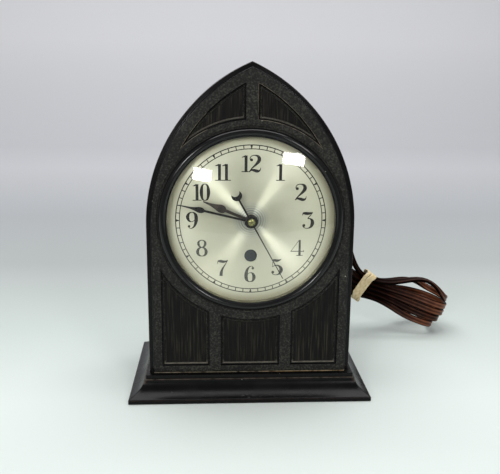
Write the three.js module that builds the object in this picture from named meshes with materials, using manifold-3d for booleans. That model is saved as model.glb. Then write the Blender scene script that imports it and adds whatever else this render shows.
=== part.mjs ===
// Mantel clock in a moulded pointed-arch case, with a hand-started synchronous motor.
// Millimetres, +Z up, the dial faces -Y, the origin is under the middle of the plinth.
import * as THREE from 'three';
import { mergeVertices } from 'three/addons/utils/BufferGeometryUtils.js';
import Module from 'manifold-3d';

const wasm = await Module();
wasm.setup();

// Clearances
const SEAT_GAP = 0.3;
const RUNNING_GAP = 0.05;
const OVERCUT = 1;

// Sides of the large rounds: the bezel, its ring, the glass and the opening for them
const ROUND_SIDES = 36;

// Plinth, from the foot up
const PLINTH_WIDTH = 139.7;
const PLINTH_DEPTH = 88.9;
const PLINTH_HEIGHT = 13.7;
const FOOT_HEIGHT = 2.2;
const FOOT_ROUND = 0.6;
const COVE_FOOT_REACH = 4.2;
const COVE_FOOT_RISE = 1.5;
const COVE_BEND_HEIGHT = 7.6;
const QUIRK_INSET = 8.4;
const QUIRK_HEIGHT = 12.2;
const LEDGE_INSET = 9.4;
const COVE_STEPS = 7;

// Case outline: upright sides, then two arcs that meet in a point
const CASE_WIDTH = 116.6;
const CASE_HEIGHT = 190.5;
const ARCH_SPRING = 97;
const CASE_FRONT = -29.8;
const CASE_BACK = 31.8;
const CASE_WALL = 3;
const FRONT_WALL = 3.5;
const FACE_RISE = 2;
const FACE_INSET = 2.5;
const COVER_REBATE = 1.4;
const COVER_THICKNESS = 1.4;
const COVER_SINK = 0.2;

// Tracery on the face
const FACE_RAIL = 4.3;
const SIDE_RAIL = 4.9;
const BOTTOM_RAIL = 4.2;
const MULLION = 6.4;
const CENTRE_PANEL_WIDTH = 34.2;
const TRACERY_RADIUS = 57.6;
const UPPER_TRACERY_RADIUS = 55.8;
const PANEL_DEPTH = 1;
const BEAD_INSET = 0.9;
const BEAD_WIDTH = 1;
const BEAD_HEIGHT = 0.8;
const GROOVE_UNDERCUT = 0.3;
const GROOVE_WIDTH = 1.2;
const GROOVE_DEPTH = 0.4;

// Dial, glass and bezel
const DIAL_HEIGHT = 104;
const DIAL_FRONT = -28.8;
const DIAL_THICKNESS = 0.6;
const DIAL_HOLE_RADIUS = 3.4;
const WINDOW_RADIUS = 3.6;
const WINDOW_DROP = 20.4;
const SIGHT_RADIUS = 46.9;
const GLASS_RADIUS = 47.7;
const GLASS_THICKNESS = 1.6;
const GLASS_DOME = 7.4;
const SLEEVE_WALL = 1.1;
const BEZEL_RADIUS = 51.6;
const BEZEL_SHOULDER = 0.6;
const BEZEL_RISE = 3.5;
const LIP_THICKNESS = 0.5;
const LIP_RISE = 2.2;

// Hands, from the dial outwards
const HAND_THICKNESS = 0.5;
const HOUR_HAND_LENGTH = 28.8;
const MINUTE_HAND_LENGTH = 41;
const SECONDS_HAND_LENGTH = 37;
const SECONDS_TAIL = 14.4;
const CRESCENT_RADIUS = 2.9;
const HOUR_HAND_LIFT = 1.8;
const MINUTE_HAND_LIFT = 3.8;
const SECONDS_HAND_LIFT = 5.3;
const HAND_HUB_RADIUS = 3.8;
const HOUR_STEM = 1.6;
const MINUTE_STEM = 1.2;
const SECONDS_STEM = 0.7;
const HOUR_PEAR = { start: 15.4, wide: 18.4, end: 25, half: 2.3 };
const MINUTE_PEAR = { start: 26.6, wide: 29.4, end: 35.4, half: 1.6 };
const NUT_MARGIN = 0.4;
const NUT_THICKNESS = 0.8;
const BOSS_RADIUS = 2.1;
const BOSS_HEIGHT = 1.1;
const HOUR_ANGLE = 292.6;
const MINUTE_ANGLE = 283.3;
const SECONDS_ANGLE = 151;

// Movement frame
const PLATE_THICKNESS = 1.6;
const FRONT_PLATE_BACK = -18.4;
const BACK_PLATE_FRONT = 3;
const BOSS_TOP_X = 38;
const BOSS_TOP_Z = 139;
const BOSS_LOW_X = 44;
const BOSS_LOW_Z = 72;
const CASE_BOSS_RADIUS = 4.2;
const PILLAR_RADIUS = 2.4;
const PILLAR_X = 28;
const PILLAR_LOW_Z = 70;
const PILLAR_TOP_Z = 128;
const PLATE_MARGIN = 5.5;
const DIAL_POST_RADIUS = 1.6;
const DIAL_POST_X = 33;
const DIAL_POST_DROP = 28;

// Wheels and arbors
const ARBOR_RADIUS = 0.8;
const SECONDS_ARBOR_RADIUS = 0.7;
const TUBE_WALL = 0.5;
const WHEEL_THICKNESS = 1.2;
const WHEEL_HUB = 1.7;
const WHEEL_RIM = 1;
const WHEEL_CROSSINGS = 4;
const CROSSING_RIM_SHARE = 0.8;
const CROSSING_HUB_SHARE = 0.45;
const WHEEL_ADDENDUM = 0.85;
const PINION_ADDENDUM = 0.8;
const DEDENDUM = 1.15;
const WHEEL_ROOT_SHARE = 0.3;
const PINION_ROOT_SHARE = 0.21;
const PINION_TIP_SHARE = 0.1;
const PINION_LENGTH = 2.8;
const TRAIN_MODULES = [0.36, 0.46, 0.55, 0.36];
const MOTION_MODULE = 0.5;
const SET_ARBOR_RADIUS = 1.2;
const STUD_RADIUS = 0.9;
const LAYER_PITCH = 3.4;
const FIRST_LAYER_GAP = 2.2;
const MINUTE_STUD_ANGLE = -20;
const SET_ARBOR_ANGLE = 45;
const FIRST_ARBOR_ANGLE = 180;
const THIRD_ARBOR_ANGLE = 100;

// Motor
const ROTOR_TEETH = 32;
const ROTOR_RADIUS = 18;
const ROTOR_THICKNESS = 6.4;
const ROTOR_TOOTH = 1.3;
const TOOTH_ROOT_SHARE = 0.27;
const TOOTH_TIP_SHARE = 0.22;
const POLE_TEETH = 7;
const AIR_GAP = 0.4;
const CORE_THICKNESS = 8;
const CORE_WIDTH = 60;
const LIMB_TOP = 102;
const YOKE_LOW = 42;
const YOKE_HEIGHT = 8;
const POLE_TIP_X = 13;
const COIL_LENGTH = 36;
const COIL_BUILD = 5.4;
const BOBBIN_WALL = 1;
const INDICATOR_RADIUS = 5.6;

// Back of the case
const STARTER_KNOB_RADIUS = 8.5;
const SET_KNOB_RADIUS = 6;
const KNOB_LENGTH = 11;
const KNOB_GAP = 0.6;
const KNOB_NECK = 0.62;
const KNOB_CROWN = 0.7;
const KNOB_BORE_DEPTH = 0.7;
const FLUTE_SHARE = 0.28;
const KNOB_FLUTES = 12;
const FLUTE_DEPTH = 0.5;
const GLAND_X = 34;
const GLAND_Z = 126;
const GLAND_LENGTH = 20;
const GLAND_RADIUS = 4.4;
const GLAND_TIP_RADIUS = 3.2;
const GLAND_FLANGE = 1.2;

// Mains lead: flat twin cord, its hank, band and plug
const CORD_WIDTH = 4.8;
const CORD_THICKNESS = 2.4;
const HANK_LOOPS = 5;
const HANK_STEPS = 24;
const HANK_SPACING = 1.09;
const WAIST_TWIST = 0.85;
const TWIST_FROM = 0.1;
const TWIST_TO = 0.75;
const WAIST_HALF = 2.25;
const WAIST = new THREE.Vector3(88, 68, 35.5);
const WAIST_RIGHT_HANDLE = new THREE.Vector3(115.9, 72.6, 25.8);
const WAIST_LEFT_HANDLE = new THREE.Vector3(69.4, 64.9, 42);
const HANK_RIGHT_END = new THREE.Vector3(148.5, 76, 13.4);
const HANK_LEFT_END = new THREE.Vector3(33.5, 51.4, 88);
const RIGHT_LOOP_SWELL = 35.5;
const LEFT_LOOP_SWELL = 41;
const REACH_FALL = 0.8;
const REACH_TOP_LOOP = 1.5;
const ARCH_LIFT = 7.5;
const HANK_LEAD_STEPS = 2;
const HANK_TAIL_STEPS = 1;
const FIRST_END_LIFT = 4;
const LAST_END_DROP = 1.5;
const CORD_SIDES = 8;
const HANK_SIDES = 6;
const BAND_WIDTH = 6.5;
const BAND_LEAN = 0.25;
const BAND_THICKNESS = 1.1;
const BAND_ROUNDING = 0.4;
const BAND_SPREAD = 1.6;
const LEAD_ROUTE = [
  [34, 58, 126], [35.3, 68, 123.7], [39, 75.3, 117.4], [44, 78, 108.7],
  [49, 75.3, 100], [53.6, 70.6, 92.4], [58.2, 66.2, 85.6], [62.8, 63.4, 80],
];
const TAIL_ROUTE = [
  [45.4, 70.5, 41.8], [37.8, 71.3, 42.6], [28.7, 71.8, 40.2], [20.6, 72, 32.8],
  [16, 72, 25.2], [11.3, 72, 17.2], [4, 72, 9.9], [-6, 72, 7.2], [-10, 72, 7.2],
];
const PLUG_BACK = new THREE.Vector3(-16, 72, 7.2);
const PLUG_LENGTH = 28;
const PLUG_WIDTH = 24;
const PLUG_HEIGHT = 14;
const PLUG_NECK_WIDTH = 8;
const BLADE_SPACING = 12.7;
const BLADE_LENGTH = 17;
const BLADE_WIDTH = 6.35;
const BLADE_THICKNESS = 1.5;

// Places that follow from the sizes above
const FACE = CASE_FRONT - FACE_RISE;
const FRONT_WALL_BACK = CASE_FRONT + FRONT_WALL;
const FRONT_PLATE_FRONT = FRONT_PLATE_BACK - PLATE_THICKNESS;
const BACK_PLATE_BACK = BACK_PLATE_FRONT + PLATE_THICKNESS;
const COVER_BACK = CASE_BACK - COVER_SINK;
const COVER_FRONT = COVER_BACK - COVER_THICKNESS;
const DIAL_BACK = DIAL_FRONT + DIAL_THICKNESS;
const SLEEVE_INNER = GLASS_RADIUS + SEAT_GAP;
const SLEEVE_OUTER = SLEEVE_INNER + SLEEVE_WALL;
const DIAL_OPENING = SLEEVE_OUTER + SEAT_GAP;
const DIAL_RADIUS = DIAL_OPENING - SEAT_GAP;
const TUBE_RADIUS = SECONDS_ARBOR_RADIUS + RUNNING_GAP + TUBE_WALL;
const CANNON_RADIUS = TUBE_RADIUS + RUNNING_GAP + TUBE_WALL;
const HOUR_PIPE_RADIUS = CANNON_RADIUS + RUNNING_GAP + TUBE_WALL;
const DIAL_CENTRE = new THREE.Vector2(0, DIAL_HEIGHT);
const ROTOR_CENTRE = new THREE.Vector2(0, DIAL_HEIGHT - WINDOW_DROP);

// Geometry helpers

// Welds a geometry, drops flat triangles and points its faces outwards.
function weld(geometry) {
  const bare = geometry.clone();
  bare.deleteAttribute('normal');
  bare.deleteAttribute('uv');
  const merged = mergeVertices(bare, 1e-4);
  const index = merged.index.array;
  const kept = [];
  for (let i = 0; i < index.length; i += 3) {
    const [a, b, c] = index.slice(i, i + 3);
    if (a !== b && b !== c && c !== a) kept.push(a, b, c);
  }
  if (volume(merged.attributes.position, kept) < 0) kept.reverse();
  merged.setIndex(kept);
  return merged;
}

function volume(position, index) {
  const corner = [0, 1, 2].map(() => new THREE.Vector3());
  let sum = 0;
  for (let i = 0; i < index.length; i += 3) {
    corner.forEach((v, k) => v.fromBufferAttribute(position, index[i + k]));
    sum += corner[0].dot(corner[1].cross(corner[2])) / 6;
  }
  return sum;
}

function solid(geometry) {
  const welded = weld(geometry);
  const vertProperties = new Float32Array(welded.attributes.position.array);
  const triVerts = new Uint32Array(welded.index.array);
  return new wasm.Manifold(new wasm.Mesh({ numProp: 3, vertProperties, triVerts }));
}

function geometryOf(manifold) {
  const mesh = manifold.getMesh();
  const geometry = new THREE.BufferGeometry();
  geometry.setAttribute('position', new THREE.BufferAttribute(new Float32Array(mesh.vertProperties), 3));
  geometry.setIndex(Array.from(mesh.triVerts));
  return geometry;
}

function cut(base, ...tools) {
  return geometryOf(tools.reduce((left, tool) => left.subtract(solid(tool)), solid(base)));
}

function join(base, ...others) {
  return geometryOf(others.reduce((sum, other) => sum.add(solid(other)), solid(base)));
}

function meet(a, b) {
  return geometryOf(solid(a).intersect(solid(b)));
}

// A flat outline in X and Z, given thickness along Y.
function plate(shape, front, back, curveSegments = 8) {
  const options = { depth: back - front, bevelEnabled: false, curveSegments };
  return new THREE.ExtrudeGeometry(shape, options).rotateX(Math.PI / 2).translate(0, back, 0);
}

// A profile of [radius, y] points turned about an axis along Y through a point in X and Z.
function turned(profile, centre, segments = 20) {
  const points = profile.map(([r, y]) => new THREE.Vector2(r, y));
  return new THREE.LatheGeometry(points, segments).translate(centre.x, 0, centre.y);
}

function rod(radius, front, back, centre, segments = 16) {
  return turned([[0, front], [radius, front], [radius, back], [0, back]], centre, segments);
}

function pipe(inner, outer, front, back, centre, segments = 20) {
  const profile = [[inner, front], [outer, front], [outer, back], [inner, back], [inner, front]];
  return turned(profile, centre, segments);
}

// A closed body through rings that have the same number of points.
function loft(rings) {
  const count = rings[0].length;
  const position = rings.flat().flatMap((p) => [p.x, p.y, p.z]);
  const index = [];
  for (let ring = 0; ring + 1 < rings.length; ring += 1) {
    for (let i = 0; i < count; i += 1) {
      const a = ring * count + i;
      const b = ring * count + ((i + 1) % count);
      index.push(a, b, a + count, b, b + count, a + count);
    }
  }
  const last = (rings.length - 1) * count;
  for (let i = 1; i + 1 < count; i += 1) {
    index.push(0, i + 1, i, last, last + i, last + i + 1);
  }
  const geometry = new THREE.BufferGeometry();
  geometry.setAttribute('position', new THREE.Float32BufferAttribute(position, 3));
  geometry.setIndex(index);
  return geometry;
}

function polar(radius, degrees, centre = new THREE.Vector2()) {
  const angle = THREE.MathUtils.degToRad(degrees);
  return new THREE.Vector2(centre.x + radius * Math.cos(angle), centre.y + radius * Math.sin(angle));
}

function angleTo(from, to) {
  return THREE.MathUtils.radToDeg(Math.atan2(to.y - from.y, to.x - from.x));
}

function arcPoints(centre, radius, startDegrees, endDegrees, steps) {
  const points = [];
  for (let i = 0; i <= steps; i += 1) {
    points.push(polar(radius, startDegrees + ((endDegrees - startDegrees) * i) / steps, centre));
  }
  return points;
}

// A round hole as a polygon drawn outside its circle, so that a shaft of that radius clears it.
function circleHole(radius, centre, sides = 12) {
  const corner = radius / Math.cos(Math.PI / sides);
  return new THREE.Path(arcPoints(centre, corner, 360, 360 / sides, sides - 1));
}

// A polygon with corners rounded to one radius, its corners given anticlockwise.
function roundedPolygon(corners, radius, steps = 4) {
  const points = [];
  corners.forEach((corner, i) => {
    const before = corners[(i + corners.length - 1) % corners.length];
    const after = corners[(i + 1) % corners.length];
    const startAngle = angleTo(before, corner) - 90;
    const endAngle = angleTo(corner, after) - 90;
    const sweep = THREE.MathUtils.euclideanModulo(endAngle - startAngle, 360);
    points.push(...arcPoints(corner, radius, startAngle, startAngle + sweep, steps));
  });
  return new THREE.Shape(points);
}

// Case outline

const ARCH_HALF = CASE_WIDTH / 2;
const ARCH_RISE = CASE_HEIGHT - ARCH_SPRING;
const ARCH_RADIUS = (ARCH_HALF + ARCH_RISE ** 2 / ARCH_HALF) / 2;
const ARCH_CENTRE = ARCH_RADIUS - ARCH_HALF;

// The pointed arch, moved inwards by an inset all round, standing on a base line.
function archShape(inset, base) {
  const radius = ARCH_RADIUS - inset;
  const apex = Math.acos(ARCH_CENTRE / radius);
  const shape = new THREE.Shape();
  shape.moveTo(inset - ARCH_HALF, base);
  shape.lineTo(ARCH_HALF - inset, base);
  shape.absarc(-ARCH_CENTRE, ARCH_SPRING, radius, 0, apex, false);
  shape.absarc(ARCH_CENTRE, ARCH_SPRING, radius, Math.PI - apex, Math.PI, false);
  return shape;
}

// Tracery panels; each takes an inset that draws its whole outline in.

const PANEL_LOW = PLINTH_HEIGHT + BOTTOM_RAIL;
const PANEL_ARC_STEPS = 10;

// A lower panel between two uprights, its top hollowed by the circle round the dial.
function lowerPanel(left, right, inset) {
  const radius = TRACERY_RADIUS + inset;
  const from = left + inset;
  const to = right - inset;
  const end = THREE.MathUtils.radToDeg(Math.acos(from / radius));
  const start = THREE.MathUtils.radToDeg(Math.acos(to / radius));
  const top = arcPoints(DIAL_CENTRE, radius, -start, -end, PANEL_ARC_STEPS);
  const base = PANEL_LOW + inset;
  return new THREE.Shape([new THREE.Vector2(from, base), new THREE.Vector2(to, base), ...top]);
}

// The right upper panel, between the middle mullion, the arch and the circle round the dial.
function upperPanel(inset) {
  const mullion = MULLION / 2 + inset;
  const outer = ARCH_RADIUS - FACE_INSET - FACE_RAIL - inset;
  const inner = UPPER_TRACERY_RADIUS + inset;
  const archCentre = new THREE.Vector2(-ARCH_CENTRE, ARCH_SPRING);
  const apart = archCentre.distanceTo(DIAL_CENTRE);
  const along = (outer ** 2 - inner ** 2 + apart ** 2) / (2 * apart);
  const lean = THREE.MathUtils.radToDeg(Math.acos(along / outer));
  const tipAngle = angleTo(archCentre, DIAL_CENTRE) + lean;
  const tip = polar(outer, tipAngle, archCentre);
  const topAngle = THREE.MathUtils.radToDeg(Math.acos((mullion + ARCH_CENTRE) / outer));
  const lowAngle = THREE.MathUtils.radToDeg(Math.acos(mullion / inner));
  const arch = arcPoints(archCentre, outer, tipAngle, topAngle, PANEL_ARC_STEPS);
  const circle = arcPoints(DIAL_CENTRE, inner, lowAngle, angleTo(DIAL_CENTRE, tip), PANEL_ARC_STEPS);
  return new THREE.Shape([...arch, ...circle.slice(0, -1)]);
}

function mirrored(shape) {
  return new THREE.Shape(shape.getPoints().map((p) => new THREE.Vector2(-p.x, p.y)).reverse());
}

function panelShapes(inset) {
  const sideEdge = ARCH_HALF - FACE_INSET - SIDE_RAIL;
  const sideStart = CENTRE_PANEL_WIDTH / 2 + MULLION;
  const right = lowerPanel(sideStart, sideEdge, inset);
  const centre = lowerPanel(-CENTRE_PANEL_WIDTH / 2, CENTRE_PANEL_WIDTH / 2, inset);
  const upper = upperPanel(inset);
  return [right, mirrored(right), centre, upper, mirrored(upper)];
}

// Case

function caseBody() {
  const base = PLINTH_HEIGHT;
  const floor = base + CASE_WALL;
  const field = FACE + PANEL_DEPTH;
  const outer = plate(archShape(0, base), CASE_FRONT, CASE_BACK);
  const face = plate(archShape(FACE_INSET, base), FACE, CASE_FRONT + OVERCUT);
  const hollow = plate(archShape(CASE_WALL, floor), FRONT_WALL_BACK, CASE_BACK + OVERCUT);
  const rebate = plate(archShape(COVER_REBATE, base + COVER_REBATE), COVER_FRONT, CASE_BACK + OVERCUT);
  const opening = rod(DIAL_OPENING, FACE - OVERCUT, FRONT_WALL_BACK + OVERCUT, DIAL_CENTRE, ROUND_SIDES);
  const panels = panelShapes(0).map((shape) => plate(shape, FACE - OVERCUT, field));
  const grooveIn = BEZEL_RADIUS - GROOVE_UNDERCUT;
  const grooveOut = grooveIn + GROOVE_WIDTH;
  const groove = pipe(grooveIn, grooveOut, FACE - OVERCUT, FACE + GROOVE_DEPTH, DIAL_CENTRE, ROUND_SIDES);
  const outlines = panelShapes(BEAD_INSET);
  const fields = panelShapes(BEAD_INSET + BEAD_WIDTH);
  const beads = outlines.map((shape, i) => {
    const frame = plate(shape, field - BEAD_HEIGHT, field + OVERCUT);
    return cut(frame, plate(fields[i], field - BEAD_HEIGHT - OVERCUT, field + 2 * OVERCUT));
  });
  const bossPlaces = platePlaces();
  const bosses = bossPlaces.map((at) => {
    return rod(CASE_BOSS_RADIUS, FRONT_WALL_BACK - OVERCUT, FRONT_PLATE_FRONT, at, 12);
  });
  const shell = cut(join(outer, face), hollow, rebate, opening, groove, ...panels);
  return join(shell, ...beads, ...bosses);
}

function platePlaces() {
  return [
    new THREE.Vector2(-BOSS_LOW_X, BOSS_LOW_Z),
    new THREE.Vector2(BOSS_LOW_X, BOSS_LOW_Z),
    new THREE.Vector2(BOSS_TOP_X, BOSS_TOP_Z),
    new THREE.Vector2(-BOSS_TOP_X, BOSS_TOP_Z),
  ];
}

function rectangle(inset, z) {
  const x = PLINTH_WIDTH / 2 - inset;
  const y = PLINTH_DEPTH / 2 - inset;
  return [[-x, -y], [x, -y], [x, y], [-x, y]].map(([px, py]) => new THREE.Vector3(px, py, z));
}

// The moulding runs round all four sides: a foot, a long cove, a small step and the ledge.
function plinth() {
  const cove = new THREE.CubicBezierCurve(
    new THREE.Vector2(FOOT_ROUND, FOOT_HEIGHT + FOOT_ROUND),
    new THREE.Vector2(COVE_FOOT_REACH, FOOT_HEIGHT + FOOT_ROUND + COVE_FOOT_RISE),
    new THREE.Vector2(QUIRK_INSET, COVE_BEND_HEIGHT),
    new THREE.Vector2(QUIRK_INSET, QUIRK_HEIGHT),
  );
  const rings = [rectangle(0, 0), rectangle(0, FOOT_HEIGHT)];
  cove.getPoints(COVE_STEPS).forEach((p) => rings.push(rectangle(p.x, p.y)));
  rings.push(rectangle(LEDGE_INSET, QUIRK_HEIGHT), rectangle(LEDGE_INSET, PLINTH_HEIGHT));
  return loft(rings);
}

function rearCover() {
  const inset = COVER_REBATE + SEAT_GAP;
  const shape = archShape(inset, PLINTH_HEIGHT + inset);
  shape.holes.push(circleHole(ARBOR_RADIUS + OVERCUT, ROTOR_CENTRE));
  shape.holes.push(circleHole(SET_ARBOR_RADIUS + OVERCUT, setCentre));
  shape.holes.push(circleHole(GLAND_RADIUS - GLAND_FLANGE + SEAT_GAP, new THREE.Vector2(GLAND_X, GLAND_Z)));
  return plate(shape, COVER_FRONT, COVER_BACK);
}

// Bezel, glass and dial

const LIP_BACK = FACE - LIP_RISE;
const GLASS_FLANGE_FRONT = LIP_BACK + SEAT_GAP;
const GLASS_FLANGE_BACK = GLASS_FLANGE_FRONT + GLASS_THICKNESS;

// A round bead, pressed into the case by its sleeve, with a lip over the glass.
function bezelRing() {
  const half = (BEZEL_RADIUS - SIGHT_RADIUS) / 2;
  const shoulder = FACE - BEZEL_SHOULDER;
  const rise = BEZEL_RISE - BEZEL_SHOULDER;
  const lipFront = LIP_BACK - LIP_THICKNESS;
  const lipAngle = 180 - THREE.MathUtils.radToDeg(Math.asin((shoulder - lipFront) / rise));
  const round = arcPoints(new THREE.Vector2(), 1, 0, lipAngle, 6);
  const profile = [
    [BEZEL_RADIUS, FACE],
    ...round.map((p) => [SIGHT_RADIUS + half + half * p.x, shoulder - rise * p.y]),
    [SIGHT_RADIUS, lipFront],
    [SIGHT_RADIUS, LIP_BACK],
    [SLEEVE_INNER, LIP_BACK],
    [SLEEVE_INNER, DIAL_FRONT],
    [SLEEVE_OUTER, DIAL_FRONT],
    [SLEEVE_OUTER, FACE],
    [BEZEL_RADIUS, FACE],
  ];
  return turned(profile, DIAL_CENTRE, ROUND_SIDES);
}

// A convex glass with a flat rim that sits behind the bezel's lip.
function glassDome() {
  const rim = SIGHT_RADIUS - SEAT_GAP;
  const sphere = (rim ** 2 + GLASS_DOME ** 2) / (2 * GLASS_DOME);
  const steps = 5;
  const apex = GLASS_FLANGE_FRONT - GLASS_DOME;
  const domeAt = (r, back) => apex + back + sphere - Math.sqrt(sphere ** 2 - r ** 2);
  const outer = [];
  const inner = [];
  for (let i = 0; i <= steps; i += 1) {
    const r = (rim * i) / steps;
    outer.push([r, domeAt(r, 0)]);
    inner.unshift([r, domeAt(r, GLASS_THICKNESS)]);
  }
  const profile = [...outer, [GLASS_RADIUS, GLASS_FLANGE_FRONT], [GLASS_RADIUS, GLASS_FLANGE_BACK], ...inner];
  return turned(profile, DIAL_CENTRE, ROUND_SIDES);
}

function dial() {
  const shape = new THREE.Shape().absarc(0, DIAL_HEIGHT, DIAL_RADIUS, 0, Math.PI * 2, false);
  shape.holes.push(circleHole(DIAL_HOLE_RADIUS, DIAL_CENTRE, 20));
  shape.holes.push(circleHole(WINDOW_RADIUS, ROTOR_CENTRE, 20));
  return plate(shape, DIAL_FRONT, DIAL_BACK, 20);
}

// Hands are drawn pointing up from the hub and then turned clockwise to the time.

function handOnDial(shape, bore, lift, clockwise) {
  shape.holes.push(circleHole(bore, new THREE.Vector2(), 20));
  const front = DIAL_FRONT - lift - HAND_THICKNESS;
  const hand = plate(shape, front, front + HAND_THICKNESS, 6);
  return hand.rotateY(THREE.MathUtils.degToRad(clockwise)).translate(0, 0, DIAL_HEIGHT);
}

// A stem that swells into a pear and runs out to a needle point.
function pearHand(length, hub, stem, pear) {
  const half = stem / 2;
  const hubAngle = Math.asin(half / hub);
  const shape = new THREE.Shape();
  shape.moveTo(half, pear.start);
  const shoulder = pear.start + 0.5;
  const bulge = pear.half + 0.4;
  shape.bezierCurveTo(pear.half, shoulder, bulge, pear.wide, pear.half * 0.8, pear.wide + 1.6);
  shape.quadraticCurveTo(half * 1.2, pear.end - 2.5, half * 0.8, pear.end);
  shape.lineTo(half * 0.35, length);
  shape.lineTo(-half * 0.35, length);
  shape.lineTo(-half * 0.8, pear.end);
  shape.quadraticCurveTo(-half * 1.2, pear.end - 2.5, -pear.half * 0.8, pear.wide + 1.6);
  shape.bezierCurveTo(-bulge, pear.wide, -pear.half, shoulder, -half, pear.start);
  shape.absarc(0, 0, hub, Math.PI / 2 + hubAngle, Math.PI * 2.5 - hubAngle, false);
  return shape;
}

function secondsHand() {
  const hub = HAND_HUB_RADIUS * 0.8;
  const half = SECONDS_STEM / 2;
  const hubAngle = Math.asin(half / hub);
  const centre = -SECONDS_TAIL - CRESCENT_RADIUS + half;
  const outerStart = -Math.PI / 2 + 0.5;
  const bite = CRESCENT_RADIUS * 0.78;
  const biteCentre = centre - CRESCENT_RADIUS * 0.42;
  const neck = Math.asin(half / CRESCENT_RADIUS);
  const shape = new THREE.Shape();
  shape.moveTo(half * 0.6, SECONDS_HAND_LENGTH);
  shape.lineTo(-half * 0.6, SECONDS_HAND_LENGTH);
  shape.absarc(0, 0, hub, Math.PI / 2 + hubAngle, Math.PI * 1.5 - hubAngle, false);
  shape.absarc(0, centre, CRESCENT_RADIUS, Math.PI / 2 + neck, Math.PI - outerStart, false);
  shape.absarc(0, biteCentre, bite, Math.PI - 0.1, 0.1, true);
  shape.absarc(0, centre, CRESCENT_RADIUS, outerStart, Math.PI / 2 - neck, false);
  shape.absarc(0, 0, hub, -Math.PI / 2 + hubAngle, Math.PI / 2 - hubAngle, false);
  return shape;
}

// A domed cap on the end of the seconds arbor.
function secondsBoss() {
  const back = DIAL_FRONT - SECONDS_HAND_LIFT - HAND_THICKNESS;
  const bore = SECONDS_ARBOR_RADIUS + RUNNING_GAP;
  const boreEnd = back - SEAT_GAP - RUNNING_GAP;
  const profile = [
    [0, back - BOSS_HEIGHT],
    [BOSS_RADIUS * 0.6, back - BOSS_HEIGHT * 0.85],
    [BOSS_RADIUS, back - BOSS_HEIGHT * 0.3],
    [BOSS_RADIUS, back],
    [bore, back],
    [bore, boreEnd],
    [0, boreEnd],
  ];
  return turned(profile, DIAL_CENTRE, 16);
}

// Toothed wheels: straight-flanked teeth, thinner than half the pitch so that a pair runs free.
// Wheel teeth come to a point, pinion leaves are blunt.

function toothedShape(teeth, module, toothAt) {
  const pitch = 360 / teeth;
  const radius = (teeth * module) / 2;
  const isPinion = teeth < 20;
  const tipRadius = radius + module * (isPinion ? PINION_ADDENDUM : WHEEL_ADDENDUM);
  const rootRadius = radius - module * DEDENDUM;
  const rootHalf = pitch * (isPinion ? PINION_ROOT_SHARE : WHEEL_ROOT_SHARE);
  const tipHalf = pitch * PINION_TIP_SHARE;
  const points = [];
  for (let i = 0; i < teeth; i += 1) {
    const middle = toothAt + i * pitch;
    const tip = isPinion ? [-tipHalf, tipHalf] : [0];
    points.push(polar(rootRadius, middle - rootHalf));
    points.push(...tip.map((aside) => polar(tipRadius, middle + aside)));
    points.push(polar(rootRadius, middle + rootHalf));
  }
  return new THREE.Shape(points);
}

// A wheel with a bore and, between hub and rim, openings that leave straight crossings.
function wheel(teeth, module, toothAt, bore, centre, front) {
  const shape = toothedShape(teeth, module, toothAt);
  shape.holes.push(circleHole(bore, new THREE.Vector2()));
  const hub = bore + WHEEL_HUB;
  const rim = (teeth * module) / 2 - module * DEDENDUM - WHEEL_RIM;
  const half = 180 / WHEEL_CROSSINGS;
  const rimHalf = half * CROSSING_RIM_SHARE;
  const hubHalf = half * CROSSING_HUB_SHARE;
  for (let i = 0; i < WHEEL_CROSSINGS; i += 1) {
    const middle = toothAt + half * (2 * i + 1);
    const window = [
      ...arcPoints(new THREE.Vector2(), rim, middle - rimHalf, middle + rimHalf, 4),
      ...arcPoints(new THREE.Vector2(), hub, middle + hubHalf, middle - hubHalf, 1),
    ];
    shape.holes.push(new THREE.Path(window.reverse()));
  }
  return plate(shape, front, front + WHEEL_THICKNESS).translate(centre.x, 0, centre.y);
}

function pinion(teeth, module, toothAt, centre, front, length = PINION_LENGTH) {
  return plate(toothedShape(teeth, module, toothAt), front, front + length).translate(centre.x, 0, centre.y);
}

function arborWithPinion(radius, front, back, centre, leaves) {
  return join(rod(radius, front, back, centre), leaves);
}

// Where the arbors stand. Each pair of wheel and pinion is as far apart as its pitch circles ask.

const PINION_LEAVES = 8;
const FIRST_TEETH = 60;
const SECOND_TEETH = 48;
const SECONDS_TEETH = 40;
const THIRD_TEETH = 64;
const CENTRE_TEETH = 60;
const CANNON_LEAVES = 12;
const MINUTE_TEETH = 36;
const MINUTE_LEAVES = 10;
const HOUR_TEETH = 40;
const SET_LEAVES = 12;

function meshDistance(teethA, teethB, module) {
  return ((teethA + teethB) * module) / 2;
}

// The point at given distances from two others, on the left of the line between them.
function thirdPoint(a, fromA, b, fromB) {
  const apart = a.distanceTo(b);
  const along = (fromA ** 2 - fromB ** 2 + apart ** 2) / (2 * apart);
  const aside = Math.sqrt(fromA ** 2 - along ** 2);
  const direction = b.clone().sub(a).normalize();
  const left = new THREE.Vector2(-direction.y, direction.x);
  return a.clone().addScaledVector(direction, along).addScaledVector(left, aside);
}

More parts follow.
